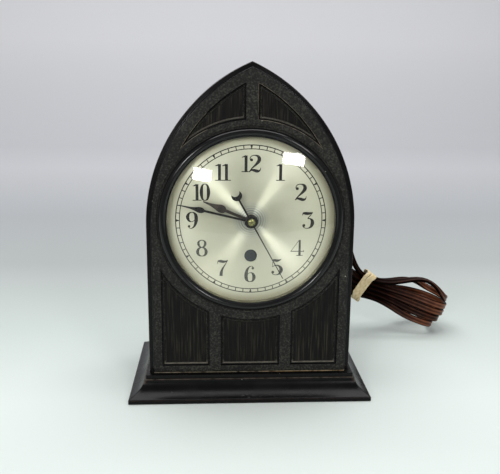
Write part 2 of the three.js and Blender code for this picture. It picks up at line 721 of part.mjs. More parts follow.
const firstDistance = meshDistance(PINION_LEAVES, FIRST_TEETH, TRAIN_MODULES[0]);
const firstCentre = polar(firstDistance, FIRST_ARBOR_ANGLE, ROTOR_CENTRE);
const secondCentre = thirdPoint(
  firstCentre,
  meshDistance(PINION_LEAVES, SECOND_TEETH, TRAIN_MODULES[1]),
  DIAL_CENTRE,
  meshDistance(PINION_LEAVES, SECONDS_TEETH, TRAIN_MODULES[2]),
);
const thirdDistance = meshDistance(PINION_LEAVES, THIRD_TEETH, TRAIN_MODULES[3]);
const thirdCentre = polar(thirdDistance, THIRD_ARBOR_ANGLE, DIAL_CENTRE);
const centreModule = (2 * thirdDistance) / (PINION_LEAVES + CENTRE_TEETH);
const minuteDistance = meshDistance(CANNON_LEAVES, MINUTE_TEETH, MOTION_MODULE);
const minuteCentre = polar(minuteDistance, MINUTE_STUD_ANGLE, DIAL_CENTRE);
const hourModule = (2 * minuteDistance) / (MINUTE_LEAVES + HOUR_TEETH);
const setCentre = polar(meshDistance(SET_LEAVES, MINUTE_TEETH, MOTION_MODULE), SET_ARBOR_ANGLE, minuteCentre);

// Layers of the train, counted forwards from the back plate.
function layerFront(layer) {
  return BACK_PLATE_FRONT - FIRST_LAYER_GAP - WHEEL_THICKNESS - layer * LAYER_PITCH;
}

function pinionFront(layer) {
  return layerFront(layer) + WHEEL_THICKNESS / 2 - PINION_LENGTH / 2;
}

// A wheel puts a tooth, and its pinion a gap, on the line between their centres.
function gapAt(leaves, degrees) {
  return degrees + 180 / leaves;
}

function trainMeshes() {
  const [m1, m2, m3, m4] = TRAIN_MODULES;
  const bore = ARBOR_RADIUS + RUNNING_GAP;
  const secondsBore = SECONDS_ARBOR_RADIUS + RUNNING_GAP;
  const tubeBore = TUBE_RADIUS + RUNNING_GAP;
  const p0 = pinion(PINION_LEAVES, m1, gapAt(PINION_LEAVES, angleTo(ROTOR_CENTRE, firstCentre)),
    ROTOR_CENTRE, pinionFront(0));
  const p1 = pinion(PINION_LEAVES, m2, gapAt(PINION_LEAVES, angleTo(firstCentre, secondCentre)),
    firstCentre, pinionFront(1));
  const p2 = pinion(PINION_LEAVES, m3, gapAt(PINION_LEAVES, angleTo(secondCentre, DIAL_CENTRE)),
    secondCentre, pinionFront(2));
  const p3 = pinion(PINION_LEAVES, m4, gapAt(PINION_LEAVES, angleTo(DIAL_CENTRE, thirdCentre)),
    DIAL_CENTRE, pinionFront(3));
  const p4 = pinion(PINION_LEAVES, centreModule, gapAt(PINION_LEAVES, angleTo(thirdCentre, DIAL_CENTRE)),
    thirdCentre, pinionFront(4));
  const knobEnd = COVER_BACK + KNOB_GAP + KNOB_LENGTH * KNOB_BORE_DEPTH;
  const pivotFront = FRONT_PLATE_FRONT;
  const pivotBack = BACK_PLATE_BACK;
  const indicatorBack = DIAL_BACK + SEAT_GAP + PLATE_THICKNESS;
  const rotorFront = indicatorBack - PLATE_THICKNESS / 2;
  const secondsFront = DIAL_FRONT - SECONDS_HAND_LIFT - HAND_THICKNESS - SEAT_GAP;
  const centreBack = layerFront(4) + WHEEL_THICKNESS + SEAT_GAP;
  return {
    rotor_arbor: arborWithPinion(ARBOR_RADIUS, rotorFront, knobEnd, ROTOR_CENTRE, p0),
    first_arbor: arborWithPinion(ARBOR_RADIUS, pivotFront, pivotBack, firstCentre, p1),
    second_arbor: arborWithPinion(ARBOR_RADIUS, pivotFront, pivotBack, secondCentre, p2),
    seconds_arbor: arborWithPinion(SECONDS_ARBOR_RADIUS, secondsFront, pivotBack, DIAL_CENTRE, p3),
    third_arbor: arborWithPinion(ARBOR_RADIUS, pivotFront, pivotBack, thirdCentre, p4),
    first_wheel: wheel(FIRST_TEETH, m1, angleTo(firstCentre, ROTOR_CENTRE), bore, firstCentre, layerFront(0)),
    second_wheel: wheel(SECOND_TEETH, m2, angleTo(secondCentre, firstCentre), bore, secondCentre,
      layerFront(1)),
    seconds_wheel: wheel(SECONDS_TEETH, m3, angleTo(DIAL_CENTRE, secondCentre), secondsBore, DIAL_CENTRE,
      layerFront(2)),
    third_wheel: wheel(THIRD_TEETH, m4, angleTo(thirdCentre, DIAL_CENTRE), bore, thirdCentre, layerFront(3)),
    centre_wheel: wheel(CENTRE_TEETH, centreModule, angleTo(DIAL_CENTRE, thirdCentre), tubeBore, DIAL_CENTRE,
      layerFront(4)),
    centre_tube: pipe(secondsBore, TUBE_RADIUS, DIAL_BACK, centreBack, DIAL_CENTRE),
    start_indicator: cut(
      rod(INDICATOR_RADIUS, DIAL_BACK + SEAT_GAP, indicatorBack, ROTOR_CENTRE, 24),
      rod(bore, rotorFront - RUNNING_GAP, indicatorBack + OVERCUT, ROTOR_CENTRE),
    ),
  };
}

// Motion work, in front of the front plate: minute wheel near the plate, hour wheel near the dial.

function motionMeshes() {
  const wheelFront = FRONT_PLATE_FRONT - 2 - WHEEL_THICKNESS;
  const cannonFront = wheelFront + WHEEL_THICKNESS / 2 - PINION_LENGTH / 2;
  const hourFront = DIAL_BACK + 1.6;
  const hourBack = hourFront + WHEEL_THICKNESS;
  const minuteTooth = angleTo(minuteCentre, DIAL_CENTRE);
  const tubeBore = TUBE_RADIUS + RUNNING_GAP;
  const cannonBore = CANNON_RADIUS + RUNNING_GAP;
  const studBore = STUD_RADIUS + RUNNING_GAP;
  const cannonLeaves = pinion(CANNON_LEAVES, MOTION_MODULE,
    gapAt(CANNON_LEAVES, angleTo(DIAL_CENTRE, minuteCentre)), DIAL_CENTRE, cannonFront);
  const cannonEnd = DIAL_FRONT - MINUTE_HAND_LIFT - HAND_THICKNESS - NUT_THICKNESS;
  const cannonBack = cannonFront + PINION_LENGTH;
  const cannonBody = join(rod(CANNON_RADIUS, cannonEnd, cannonBack, DIAL_CENTRE, 20), cannonLeaves);
  const cannonHole = rod(tubeBore, cannonEnd - OVERCUT, cannonBack + OVERCUT, DIAL_CENTRE, 20);
  const pinionLength = wheelFront - DIAL_BACK - 2 * SEAT_GAP;
  const minuteLeaves = pinion(MINUTE_LEAVES, hourModule, gapAt(MINUTE_LEAVES, minuteTooth),
    minuteCentre, DIAL_BACK + SEAT_GAP, pinionLength);
  const hubRadius = (MINUTE_LEAVES * hourModule) / 2 - hourModule * DEDENDUM;
  const hubBack = wheelFront + WHEEL_THICKNESS + SEAT_GAP;
  const minuteHub = rod(hubRadius, wheelFront - OVERCUT, hubBack, minuteCentre);
  const studHole = rod(studBore, DIAL_BACK, FRONT_PLATE_FRONT, minuteCentre);
  const hourPipeFront = DIAL_FRONT - HOUR_HAND_LIFT - HAND_THICKNESS;
  const hourPipe = rod(HOUR_PIPE_RADIUS, hourPipeFront, hourBack, DIAL_CENTRE, 20);
  const hourTooth = angleTo(DIAL_CENTRE, minuteCentre);
  const hourDisc = wheel(HOUR_TEETH, hourModule, hourTooth, cannonBore, DIAL_CENTRE, hourFront);
  const hourHole = rod(cannonBore, DIAL_FRONT - 2 * HOUR_HAND_LIFT, hourBack + OVERCUT, DIAL_CENTRE, 20);
  const pitch = 360 / MINUTE_TEETH;
  const offset = THREE.MathUtils.euclideanModulo(angleTo(minuteCentre, setCentre) - minuteTooth, pitch);
  const setGap = angleTo(setCentre, minuteCentre) + (offset * MINUTE_TEETH) / SET_LEAVES;
  const setLeaves = pinion(SET_LEAVES, MOTION_MODULE, gapAt(SET_LEAVES, setGap), setCentre, cannonFront);
  const setEnd = COVER_BACK + KNOB_GAP + KNOB_LENGTH * KNOB_BORE_DEPTH;
  return {
    cannon_pinion: cut(cannonBody, cannonHole),
    minute_stud: rod(STUD_RADIUS, DIAL_BACK + SEAT_GAP, FRONT_PLATE_FRONT, minuteCentre),
    minute_pinion: cut(join(minuteLeaves, minuteHub), studHole),
    minute_wheel: wheel(MINUTE_TEETH, MOTION_MODULE, minuteTooth, hubRadius + RUNNING_GAP, minuteCentre,
      wheelFront),
    hour_wheel: cut(join(hourDisc, hourPipe), hourHole),
    set_arbor: arborWithPinion(SET_ARBOR_RADIUS, cannonFront, setEnd, setCentre, setLeaves),
  };
}

// Movement frame

function plateWithHoles(corners, front, bores) {
  const shape = roundedPolygon(corners, PLATE_MARGIN);
  bores.forEach(([radius, centre]) => shape.holes.push(circleHole(radius + RUNNING_GAP, centre)));
  return plate(shape, front, front + PLATE_THICKNESS);
}

function pillarPlaces() {
  return [[-1, PILLAR_LOW_Z], [1, PILLAR_LOW_Z], [1, PILLAR_TOP_Z], [-1, PILLAR_TOP_Z]].map(([side, z]) => {
    return new THREE.Vector2(side * PILLAR_X, z);
  });
}

function dialPostPlaces() {
  return [[-1, -1], [1, -1], [1, 1], [-1, 1]].map(([side, level]) => {
    return new THREE.Vector2(side * DIAL_POST_X, DIAL_HEIGHT + level * DIAL_POST_DROP);
  });
}

function frameMeshes() {
  const shared = [
    [ARBOR_RADIUS, ROTOR_CENTRE],
    [ARBOR_RADIUS, firstCentre],
    [ARBOR_RADIUS, secondCentre],
    [ARBOR_RADIUS, thirdCentre],
    [SET_ARBOR_RADIUS, setCentre],
  ];
  const frontBores = [...shared, [TUBE_RADIUS, DIAL_CENTRE]];
  const backBores = [...shared, [SECONDS_ARBOR_RADIUS, DIAL_CENTRE]];
  const meshes = {
    front_plate: plateWithHoles(platePlaces(), FRONT_PLATE_FRONT, frontBores),
    back_plate: plateWithHoles(pillarPlaces(), BACK_PLATE_FRONT, backBores),
  };
  pillarPlaces().forEach((at, i) => {
    meshes[`plate_pillar_${i + 1}`] = rod(PILLAR_RADIUS, FRONT_PLATE_BACK, BACK_PLATE_FRONT, at, 12);
  });
  dialPostPlaces().forEach((at, i) => {
    meshes[`dial_post_${i + 1}`] = rod(DIAL_POST_RADIUS, DIAL_BACK, FRONT_PLATE_FRONT, at, 12);
  });
  return meshes;
}

// Motor: a toothed reluctance rotor between the toothed poles of a laminated U-shaped core.

function rotor() {
  const pitch = 360 / ROTOR_TEETH;
  const points = [];
  for (let i = 0; i < ROTOR_TEETH; i += 1) {
    const middle = i * pitch;
    points.push(polar(ROTOR_RADIUS - ROTOR_TOOTH, middle - pitch * TOOTH_ROOT_SHARE));
    points.push(polar(ROTOR_RADIUS, middle - pitch * TOOTH_TIP_SHARE));
    points.push(polar(ROTOR_RADIUS, middle + pitch * TOOTH_TIP_SHARE));
    points.push(polar(ROTOR_RADIUS - ROTOR_TOOTH, middle + pitch * TOOTH_ROOT_SHARE));
  }
  const shape = new THREE.Shape(points);
  shape.holes.push(circleHole(ARBOR_RADIUS + RUNNING_GAP, new THREE.Vector2()));
  const front = BACK_PLATE_BACK + 2 * AIR_GAP;
  return plate(shape, front, front + ROTOR_THICKNESS).translate(ROTOR_CENTRE.x, 0, ROTOR_CENTRE.y);
}

function fieldCore() {
  const pitch = 360 / ROTOR_TEETH;
  const face = ROTOR_RADIUS + AIR_GAP;
  const half = CORE_WIDTH / 2;
  const inner = COIL_LENGTH / 2 + BOBBIN_WALL + OVERCUT;
  const yokeTop = YOKE_LOW + YOKE_HEIGHT;
  const shoulder = ROTOR_CENTRE.y - face;
  const pole = [];
  for (let i = 0; i < POLE_TEETH; i += 1) {
    const middle = ((POLE_TEETH - 1) / 2 - i) * pitch;
    pole.push(polar(face + ROTOR_TOOTH, middle + pitch * TOOTH_ROOT_SHARE, ROTOR_CENTRE));
    pole.push(polar(face, middle + pitch * TOOTH_TIP_SHARE, ROTOR_CENTRE));
    pole.push(polar(face, middle - pitch * TOOTH_TIP_SHARE, ROTOR_CENTRE));
    pole.push(polar(face + ROTOR_TOOTH, middle - pitch * TOOTH_ROOT_SHARE, ROTOR_CENTRE));
  }
  const right = [
    new THREE.Vector2(half, YOKE_LOW),
    new THREE.Vector2(half, LIMB_TOP),
    new THREE.Vector2(POLE_TIP_X, LIMB_TOP),
    ...pole,
    new THREE.Vector2(POLE_TIP_X, shoulder),
    new THREE.Vector2(inner, shoulder),
    new THREE.Vector2(inner, yokeTop),
  ];
  const left = right.map((p) => new THREE.Vector2(-p.x, p.y)).reverse();
  return plate(new THREE.Shape([...right, ...left]), BACK_PLATE_BACK, BACK_PLATE_BACK + CORE_THICKNESS);
}

// A square sleeve along X round the yoke, between an inner and an outer half-size.
function yokeSleeve(inner, outer, from, to) {
  const centreY = BACK_PLATE_BACK + CORE_THICKNESS / 2;
  const centreZ = YOKE_LOW + YOKE_HEIGHT / 2;
  const size = to - from;
  const middle = (from + to) / 2;
  const block = new THREE.BoxGeometry(size, 2 * outer, 2 * outer);
  const hole = new THREE.BoxGeometry(size + 2 * OVERCUT, 2 * inner, 2 * inner);
  return cut(block, hole).translate(middle, centreY, centreZ);
}

const BOBBIN_INNER = YOKE_HEIGHT / 2 + SEAT_GAP;
const BOBBIN_OUTER = BOBBIN_INNER + BOBBIN_WALL;

function coilBobbin() {
  const end = COIL_LENGTH / 2;
  const flange = BOBBIN_OUTER + COIL_BUILD;
  const tube = yokeSleeve(BOBBIN_INNER, BOBBIN_OUTER, -end, end);
  const left = yokeSleeve(BOBBIN_INNER, flange, -end, -end + BOBBIN_WALL);
  const right = yokeSleeve(BOBBIN_INNER, flange, end - BOBBIN_WALL, end);
  return join(tube, left, right);
}

// The taped winding: a rounded block round the bobbin.
function coilWinding() {
  const end = COIL_LENGTH / 2 - BOBBIN_WALL - SEAT_GAP;
  const outer = BOBBIN_OUTER + COIL_BUILD - BOBBIN_WALL;
  const corner = COIL_BUILD * 0.7;
  const reach = outer - corner;
  const corners = [[-reach, -reach], [reach, -reach], [reach, reach], [-reach, reach]];
  const shape = roundedPolygon(corners.map(([y, z]) => new THREE.Vector2(y, z)), corner);
  const hole = BOBBIN_OUTER + SEAT_GAP;
  const square = [[-hole, -hole], [-hole, hole], [hole, hole], [hole, -hole]];
  shape.holes.push(new THREE.Path(square.map(([y, z]) => new THREE.Vector2(y, z))));
  const block = new THREE.ExtrudeGeometry(shape, { depth: 2 * end, bevelEnabled: false });
  block.translate(0, 0, -end).rotateX(Math.PI / 2).rotateZ(Math.PI / 2);
  return block.translate(0, BACK_PLATE_BACK + CORE_THICKNESS / 2, YOKE_LOW + YOKE_HEIGHT / 2);
}

// Knobs: a domed turning cut to a fluted outline, with a blind bore for the arbor.
function knob(radius, arbor, centre) {
  const front = COVER_BACK + KNOB_GAP;
  const back = front + KNOB_LENGTH;
  const profile = [
    [0, front],
    [radius * KNOB_NECK, front],
    [radius * KNOB_NECK, front + KNOB_LENGTH * 0.2],
    [radius, front + KNOB_LENGTH * 0.3],
    [radius, back - KNOB_LENGTH * 0.2],
    [radius * KNOB_CROWN, back],
    [0, back],
  ];
  const fluted = [];
  for (let i = 0; i < KNOB_FLUTES; i += 1) {
    const pitch = 360 / KNOB_FLUTES;
    fluted.push(polar(radius, (i - FLUTE_SHARE) * pitch, centre));
    fluted.push(polar(radius, (i + FLUTE_SHARE) * pitch, centre));
    fluted.push(polar(radius - FLUTE_DEPTH, (i + 0.5) * pitch, centre));
  }
  const outline = plate(new THREE.Shape(fluted), front - OVERCUT, back + OVERCUT);
  const boreEnd = front + KNOB_LENGTH * KNOB_BORE_DEPTH + RUNNING_GAP;
  const bore = rod(arbor + RUNNING_GAP, front - OVERCUT, boreEnd, centre);
  return cut(meet(turned(profile, centre, 12), outline), bore);
}

// Mains lead

const GLAND_CENTRE = new THREE.Vector2(GLAND_X, GLAND_Z);

function strainRelief() {
  const neck = GLAND_RADIUS - GLAND_FLANGE;
  const inside = COVER_FRONT - SEAT_GAP;
  const outside = COVER_BACK + SEAT_GAP;
  const profile = [
    [0, inside - GLAND_FLANGE],
    [GLAND_RADIUS, inside - GLAND_FLANGE],
    [GLAND_RADIUS, inside],
    [neck, inside],
    [neck, outside],
    [GLAND_RADIUS, outside],
    [GLAND_RADIUS, outside + GLAND_FLANGE],
    [GLAND_TIP_RADIUS, outside + GLAND_LENGTH],
    [0, outside + GLAND_LENGTH],
  ];
  return turned(profile, GLAND_CENTRE, 16);
}

const HANK_STEP = (2 * Math.PI) / HANK_STEPS;
const HANK_LEAD_PHASE = HANK_LEAD_STEPS * HANK_STEP;
const HANK_TAIL_PHASE = HANK_TAIL_STEPS * HANK_STEP;

// The hank's middle line: right of the band it runs down to the table, left of it up the clock's back.
function hankAxis(share) {
  const handle = share >= 0 ? WAIST_RIGHT_HANDLE : WAIST_LEFT_HANDLE;
  const end = share >= 0 ? HANK_RIGHT_END : HANK_LEFT_END;
  const t = Math.abs(share);
  const place = WAIST.clone().multiplyScalar((1 - t) ** 2);
  place.addScaledVector(handle, 2 * t * (1 - t)).addScaledVector(end, t * t);
  const run = handle.clone().sub(WAIST).multiplyScalar(1 - t).addScaledVector(end.clone().sub(handle), t);
  run.multiplyScalar(share >= 0 ? 1 : -1).normalize();
  const across = new THREE.Vector3(0, 0, 1).cross(run).normalize();
  return { place, across, up: run.clone().cross(across) };
}

// How far the flat cord is turned on its side: most at the band, not at all towards the folds.
function hankTwist(share) {
  return WAIST_TWIST * (1 - THREE.MathUtils.smoothstep(Math.abs(share), TWIST_FROM, TWIST_TO));
}

// The layers' distance, which follows from how the flat cord lies.
function hankPitch(twist) {
  return HANK_SPACING / Math.hypot(Math.cos(twist) / CORD_WIDTH, Math.sin(twist) / CORD_THICKNESS);
}

// A point of the hank. One turn of phase is one loop: 0 at its right fold, half a turn at its left fold.
// Near runs keep their layer, far runs climb down to the next. The top loop bows up on the right, and
// the end that goes to the clock lifts off the loops, while the one that goes to the plug drops.
function hankPoint(phase) {
  const loop = Math.round(phase / (2 * Math.PI));
  const share = Math.cos(phase);
  const farShare = THREE.MathUtils.clamp(phase / Math.PI - 2 * loop, 0, 1);
  const earlier = phase < 2 * Math.PI * loop ? 0 : THREE.MathUtils.smoothstep(farShare, 0, 1);
  const swell = share >= 0 ? RIGHT_LOOP_SWELL : phase < -Math.PI / 2 ? 0 : LEFT_LOOP_SWELL;
  const reachOffset = (REACH_FALL * (loop - REACH_TOP_LOOP) ** 2) / HANK_RIGHT_END.distanceTo(WAIST);
  const reach = share >= 0 ? 1 - reachOffset * share : 1;
  const axis = hankAxis(share * reach);
  const bow = loop === 0 && phase < 0 && share > 0 ? ARCH_LIFT * Math.sin(Math.PI * share ** 1.5) ** 2 : 0;
  const beforeBand = Math.max(-Math.PI / 2 - phase, 0) / HANK_LEAD_PHASE;
  const afterBand = Math.max(phase - 2 * Math.PI * (HANK_LOOPS - 1) - Math.PI / 2, 0) / HANK_TAIL_PHASE;
  const lift = bow + FIRST_END_LIFT * beforeBand ** 2 - LAST_END_DROP * afterBand ** 2;
  const twist = hankTwist(share);
  const height = ((HANK_LOOPS - 1) / 2 - loop - earlier) * hankPitch(twist) + lift;
  const width = Math.sin(phase) * (WAIST_HALF + swell * share * share);
  const point = axis.place.addScaledVector(axis.across, width).addScaledVector(axis.up, height);
  const up = axis.up.clone().multiplyScalar(Math.cos(twist)).addScaledVector(axis.across, Math.sin(twist));
  return { point, up };
}

// A flat cord's path: its wide side is kept along a given direction as it goes.
class CordPath extends THREE.Curve {
  constructor(points, ups) {
    super();
    this.points = points;
    this.ups = ups;
  }

  getSpacedPoints() {
    return this.points;
  }

  computeFrenetFrames() {
    const last = this.points.length - 1;
    const tangents = this.points.map((p, i) => {
      const after = this.points[Math.min(i + 1, last)];
      return after.clone().sub(this.points[Math.max(i - 1, 0)]).normalize();
    });
    const binormals = tangents.map((t, i) => {
      return this.ups[i].clone().addScaledVector(t, -t.dot(this.ups[i])).normalize();
    });
    const normals = tangents.map((t, i) => binormals[i].clone().cross(t));
    return { tangents, normals, binormals };
  }
}

function cordTube(points, ups, sides) {
  const section = new THREE.Shape(Array.from({ length: sides }, (_, i) => {
    const angle = (2 * Math.PI * (i + 0.5)) / sides;
    const flat = Math.cos(angle) / Math.cos(Math.PI / sides);
    const wide = Math.sign(Math.sin(angle)) * Math.abs(Math.sin(angle)) ** 0.8;
    return new THREE.Vector2((flat * CORD_THICKNESS) / 2, (wide * CORD_WIDTH) / 2);
  }));
  const path = new CordPath(points, ups);
  return new THREE.ExtrudeGeometry(section, { steps: points.length - 1, extrudePath: path });
}

const HANK_START = -Math.PI / 2 - HANK_LEAD_PHASE;
const HANK_END = 2 * Math.PI * (HANK_LOOPS - 1) + Math.PI / 2 + HANK_TAIL_PHASE;

function hankRings() {
  const steps = Math.round((HANK_END - HANK_START) / HANK_STEP);
  return Array.from({ length: steps + 1 }, (_, i) => hankPoint(HANK_START + i * HANK_STEP));
}

// A run of cord that carries straight on from one end of the hank.
function straightEnd(phase, direction, lengths) {
  const here = hankPoint(phase).point;
  const ahead = hankPoint(phase + direction * 0.01).point;
  const out = here.clone().sub(ahead).normalize();
  return lengths.map((length) => here.clone().addScaledVector(out, length));
}

const END_LENGTHS = [CORD_WIDTH, CORD_WIDTH + SEAT_GAP, 3 * CORD_WIDTH];

function cordHank() {
  const rings = hankRings();
  const [startEnd] = straightEnd(HANK_START, 1, END_LENGTHS);
  const [finalEnd] = straightEnd(HANK_END, -1, END_LENGTHS);
  const points = [startEnd, ...rings.map((r) => r.point), finalEnd];
  const ups = [rings[0].up, ...rings.map((r) => r.up), rings[rings.length - 1].up];
  return { points, ups };
}

// The least gap between stretches of the hank that are a quarter of a loop or more apart.
function leastGap(points, ups) {
  const frames = new CordPath(points, ups).computeFrenetFrames();
  const spread = points.map((p, i) => {
    const around = [];
    for (let k = 0; k < 12; k += 1) {
      const angle = (2 * Math.PI * k) / 12;
      const offset = frames.normals[i].clone().multiplyScalar((Math.cos(angle) * CORD_THICKNESS) / 2);
      offset.addScaledVector(frames.binormals[i], (Math.sin(angle) * CORD_WIDTH) / 2);
      around.push(p.clone().add(offset));
    }
    return around;
  });
  const apart = HANK_STEPS / 4;
  let least = Infinity;
  for (let i = 0; i < points.length; i += 1) {
    for (let j = i + apart; j < points.length; j += 1) {
      if (points[i].distanceTo(points[j]) < 3 * CORD_WIDTH) {
        for (const a of spread[i]) {
          for (const b of spread[j]) least = Math.min(least, a.distanceTo(b));
        }
      }
    }
  }
  return least;
}

// A free run of cord through a few places, with straight ends; its wide side turns slowly on the way.
function freeCord(points, segments, firstUp, lastUp) {
  const curve = new THREE.CatmullRomCurve3(points.slice(1, -1), false, 'centripetal');
  const places = [points[0], ...curve.getSpacedPoints(segments), points[points.length - 1]];
  const ups = places.map((_, i) => {
    return firstUp.clone().lerp(lastUp, THREE.MathUtils.smoothstep(i / segments, 0.1, 0.9));
  });
  return { points: places, ups };
}

function leadPoints() {
  const start = COVER_BACK + GLAND_LENGTH + 2 * SEAT_GAP;
  const ends = straightEnd(HANK_START, 1, END_LENGTHS).slice(1);
  const route = LEAD_ROUTE.map((p) => new THREE.Vector3(...p));
  return [new THREE.Vector3(GLAND_X, start, GLAND_Z), ...route, ...ends.reverse()];
}

function tailPoints() {
  const ends = straightEnd(HANK_END, -1, END_LENGTHS).slice(1);
  const route = TAIL_ROUTE.map((p) => new THREE.Vector3(...p));
  const plugEnd = PLUG_BACK.clone().add(new THREE.Vector3(SEAT_GAP, 0, 0));
  return [...ends, ...route, plugEnd];
}

// An oval rubber band round the hank's waist.
function hankBand() {
  const { place, across, up } = hankAxis(0);
  const run = across.clone().cross(up);
  const pitch = hankPitch(hankTwist(0));
  const cordHigh = Math.hypot(Math.cos(WAIST_TWIST) * CORD_WIDTH, Math.sin(WAIST_TWIST) * CORD_THICKNESS);
  const cordWide = Math.hypot(Math.sin(WAIST_TWIST) * CORD_WIDTH, Math.cos(WAIST_TWIST) * CORD_THICKNESS);
  const halfHigh = ((HANK_LOOPS - 0.5) / 2) * pitch + cordHigh / 2 + BAND_SPREAD;
  const halfWide = WAIST_HALF + cordWide / 2 + BAND_SPREAD;
  const oval = (grow) => {
    const corners = [[-1, -1], [1, -1], [1, 1], [-1, 1]].map(([x, z]) => new THREE.Vector2(x, z));
    const radius = halfWide * BAND_ROUNDING;
    corners.forEach((c) => c.set(c.x * (halfWide - radius), c.y * (halfHigh - radius)));
    return roundedPolygon(corners, radius + grow);
  };
  const shape = oval(BAND_THICKNESS);
  shape.holes.push(new THREE.Path(oval(0).getPoints().reverse()));
  const ring = new THREE.ExtrudeGeometry(shape, { depth: BAND_WIDTH, bevelEnabled: false });
  ring.translate(0, -pitch / 4, -BAND_WIDTH / 2).rotateX(BAND_LEAN);
  const turn = new THREE.Matrix4().makeBasis(across, up, run);
  return ring.applyMatrix4(turn.setPosition(place));
}

// Plug: a moulded grip that narrows to the cord, with two flat blades.
function plugRing(x, width, height) {
  const corner = height * 0.3;
  const corners = [[-1, -1], [1, -1], [1, 1], [-1, 1]].map(([y, z]) => {
    return new THREE.Vector2(y * (width / 2 - corner), z * (height / 2 - corner));
  });
  return roundedPolygon(corners, corner, 2).getPoints().map((p) => {
    return new THREE.Vector3(x, PLUG_BACK.y + p.x, PLUG_BACK.z + p.y);
  });
}

function plugBody() {
  const at = (share) => PLUG_BACK.x - PLUG_LENGTH * share;
  const neckHeight = CORD_THICKNESS + 3.6;
  return loft([
    plugRing(at(0), PLUG_NECK_WIDTH, neckHeight),
    plugRing(at(0.25), PLUG_NECK_WIDTH + 2, neckHeight + 1),
    plugRing(at(0.4), PLUG_WIDTH * 0.72, PLUG_HEIGHT * 0.8),
    plugRing(at(0.62), PLUG_WIDTH * 0.8, PLUG_HEIGHT * 0.84),
    plugRing(at(0.8), PLUG_WIDTH, PLUG_HEIGHT),
    plugRing(at(1), PLUG_WIDTH, PLUG_HEIGHT),
  ]);
}

function plugBlade(side) {
  const root = PLUG_BACK.x - PLUG_LENGTH;
  const half = BLADE_WIDTH / 2;
  const tip = BLADE_LENGTH - BLADE_WIDTH * 0.3;
  const shape = new THREE.Shape();
  shape.moveTo(root, PLUG_BACK.z - half);
  shape.lineTo(root, PLUG_BACK.z + half);
  shape.lineTo(root - tip, PLUG_BACK.z + half);
  shape.lineTo(root - BLADE_LENGTH, PLUG_BACK.z + half * 0.5);
  shape.lineTo(root - BLADE_LENGTH, PLUG_BACK.z - half * 0.5);
  shape.lineTo(root - tip, PLUG_BACK.z - half);
  const middle = PLUG_BACK.y + (side * BLADE_SPACING) / 2;
  return plate(shape, middle - BLADE_THICKNESS / 2, middle + BLADE_THICKNESS / 2);
}

// Materials

function finish(color, roughness, metalness) {
  return new THREE.MeshStandardMaterial({ color, roughness, metalness });
}

const BAKELITE = finish(0x2b2622, 0.55, 0);
const GLOSS_BAKELITE = finish(0x141110, 0.22, 0);
const GLASS = new THREE.MeshStandardMaterial({
  color: 0xf4f6f5, roughness: 0.03, metalness: 0, transparent: true, opacity: 0.2,
});
const SILVERED = finish(0xcfcdb4, 0.35, 0.6);
const BLACK_STEEL = finish(0x0d0d0d, 0.4, 0.5);
const BRASS = finish(0xb89a4c, 0.3, 1);
const STEEL = finish(0x9a9a98, 0.35, 1);
const LAMINATION = finish(0x55524e, 0.6, 0.7);
const FIBRE = finish(0x7a4a2a, 0.75, 0);
const WINDING = finish(0x6e3a22, 0.7, 0);
const SLATE = finish(0x505a5c, 0.6, 0.1);
const COVER = finish(0x1a1918, 0.6, 0.3);
const BROWN_CORD = finish(0x3a1d14, 0.4, 0);
const PALE_RUBBER = finish(0xd9c28f, 0.7, 0);

// Assembly

const clock = new THREE.Group();

function add(name, geometry, material) {
  const mesh = new THREE.Mesh(weld(geometry), material);
  mesh.name = name;
  clock.add(mesh);
}

add('plinth', plinth(), GLOSS_BAKELITE);
add('case_body', caseBody(), BAKELITE);
add('rear_cover', rearCover(), COVER);
add('bezel_ring', bezelRing(), GLOSS_BAKELITE);
add('glass_dome', glassDome(), GLASS);
const retainerFront = GLASS_FLANGE_BACK + SEAT_GAP / 2;
const retainer = pipe(SIGHT_RADIUS, GLASS_RADIUS, retainerFront, DIAL_FRONT, DIAL_CENTRE, ROUND_SIDES);
add('glass_retainer', retainer, BRASS);
add('dial', dial(), SILVERED);

const movement = { ...frameMeshes(), ...trainMeshes(), ...motionMeshes() };
const movementMaterials = [
  [/indicator/, SLATE],
  [/arbor|stud|pillar/, STEEL],
  [/first_wheel/, FIBRE],
  [/./, BRASS],
];
for (const [name, geometry] of Object.entries(movement)) {
  const [, material] = movementMaterials.find(([pattern]) => pattern.test(name));
  add(name, geometry, material);
}

add('rotor', rotor(), LAMINATION);
add('field_core', fieldCore(), LAMINATION);
add('coil_bobbin', coilBobbin(), FIBRE);
add('coil_winding', coilWinding(), WINDING);
add('starter_knob', knob(STARTER_KNOB_RADIUS, ARBOR_RADIUS, ROTOR_CENTRE), GLOSS_BAKELITE);
add('set_knob', knob(SET_KNOB_RADIUS, SET_ARBOR_RADIUS, setCentre), GLOSS_BAKELITE);

const hourBore = HOUR_PIPE_RADIUS + RUNNING_GAP;
const minuteBore = CANNON_RADIUS + RUNNING_GAP;
const secondsBore = SECONDS_ARBOR_RADIUS + RUNNING_GAP;
const hourShape = pearHand(HOUR_HAND_LENGTH, HAND_HUB_RADIUS, HOUR_STEM, HOUR_PEAR);
const minuteShape = pearHand(MINUTE_HAND_LENGTH, HAND_HUB_RADIUS, MINUTE_STEM, MINUTE_PEAR);
const nutBack = DIAL_FRONT - MINUTE_HAND_LIFT - HAND_THICKNESS;
const nutRadius = HAND_HUB_RADIUS - NUT_MARGIN;
const nut = pipe(minuteBore, nutRadius, nutBack - NUT_THICKNESS, nutBack, DIAL_CENTRE);
add('hour_hand', handOnDial(hourShape, hourBore, HOUR_HAND_LIFT, HOUR_ANGLE), BLACK_STEEL);
add('minute_hand', handOnDial(minuteShape, minuteBore, MINUTE_HAND_LIFT, MINUTE_ANGLE), BLACK_STEEL);
add('minute_hand_nut', nut, BLACK_STEEL);
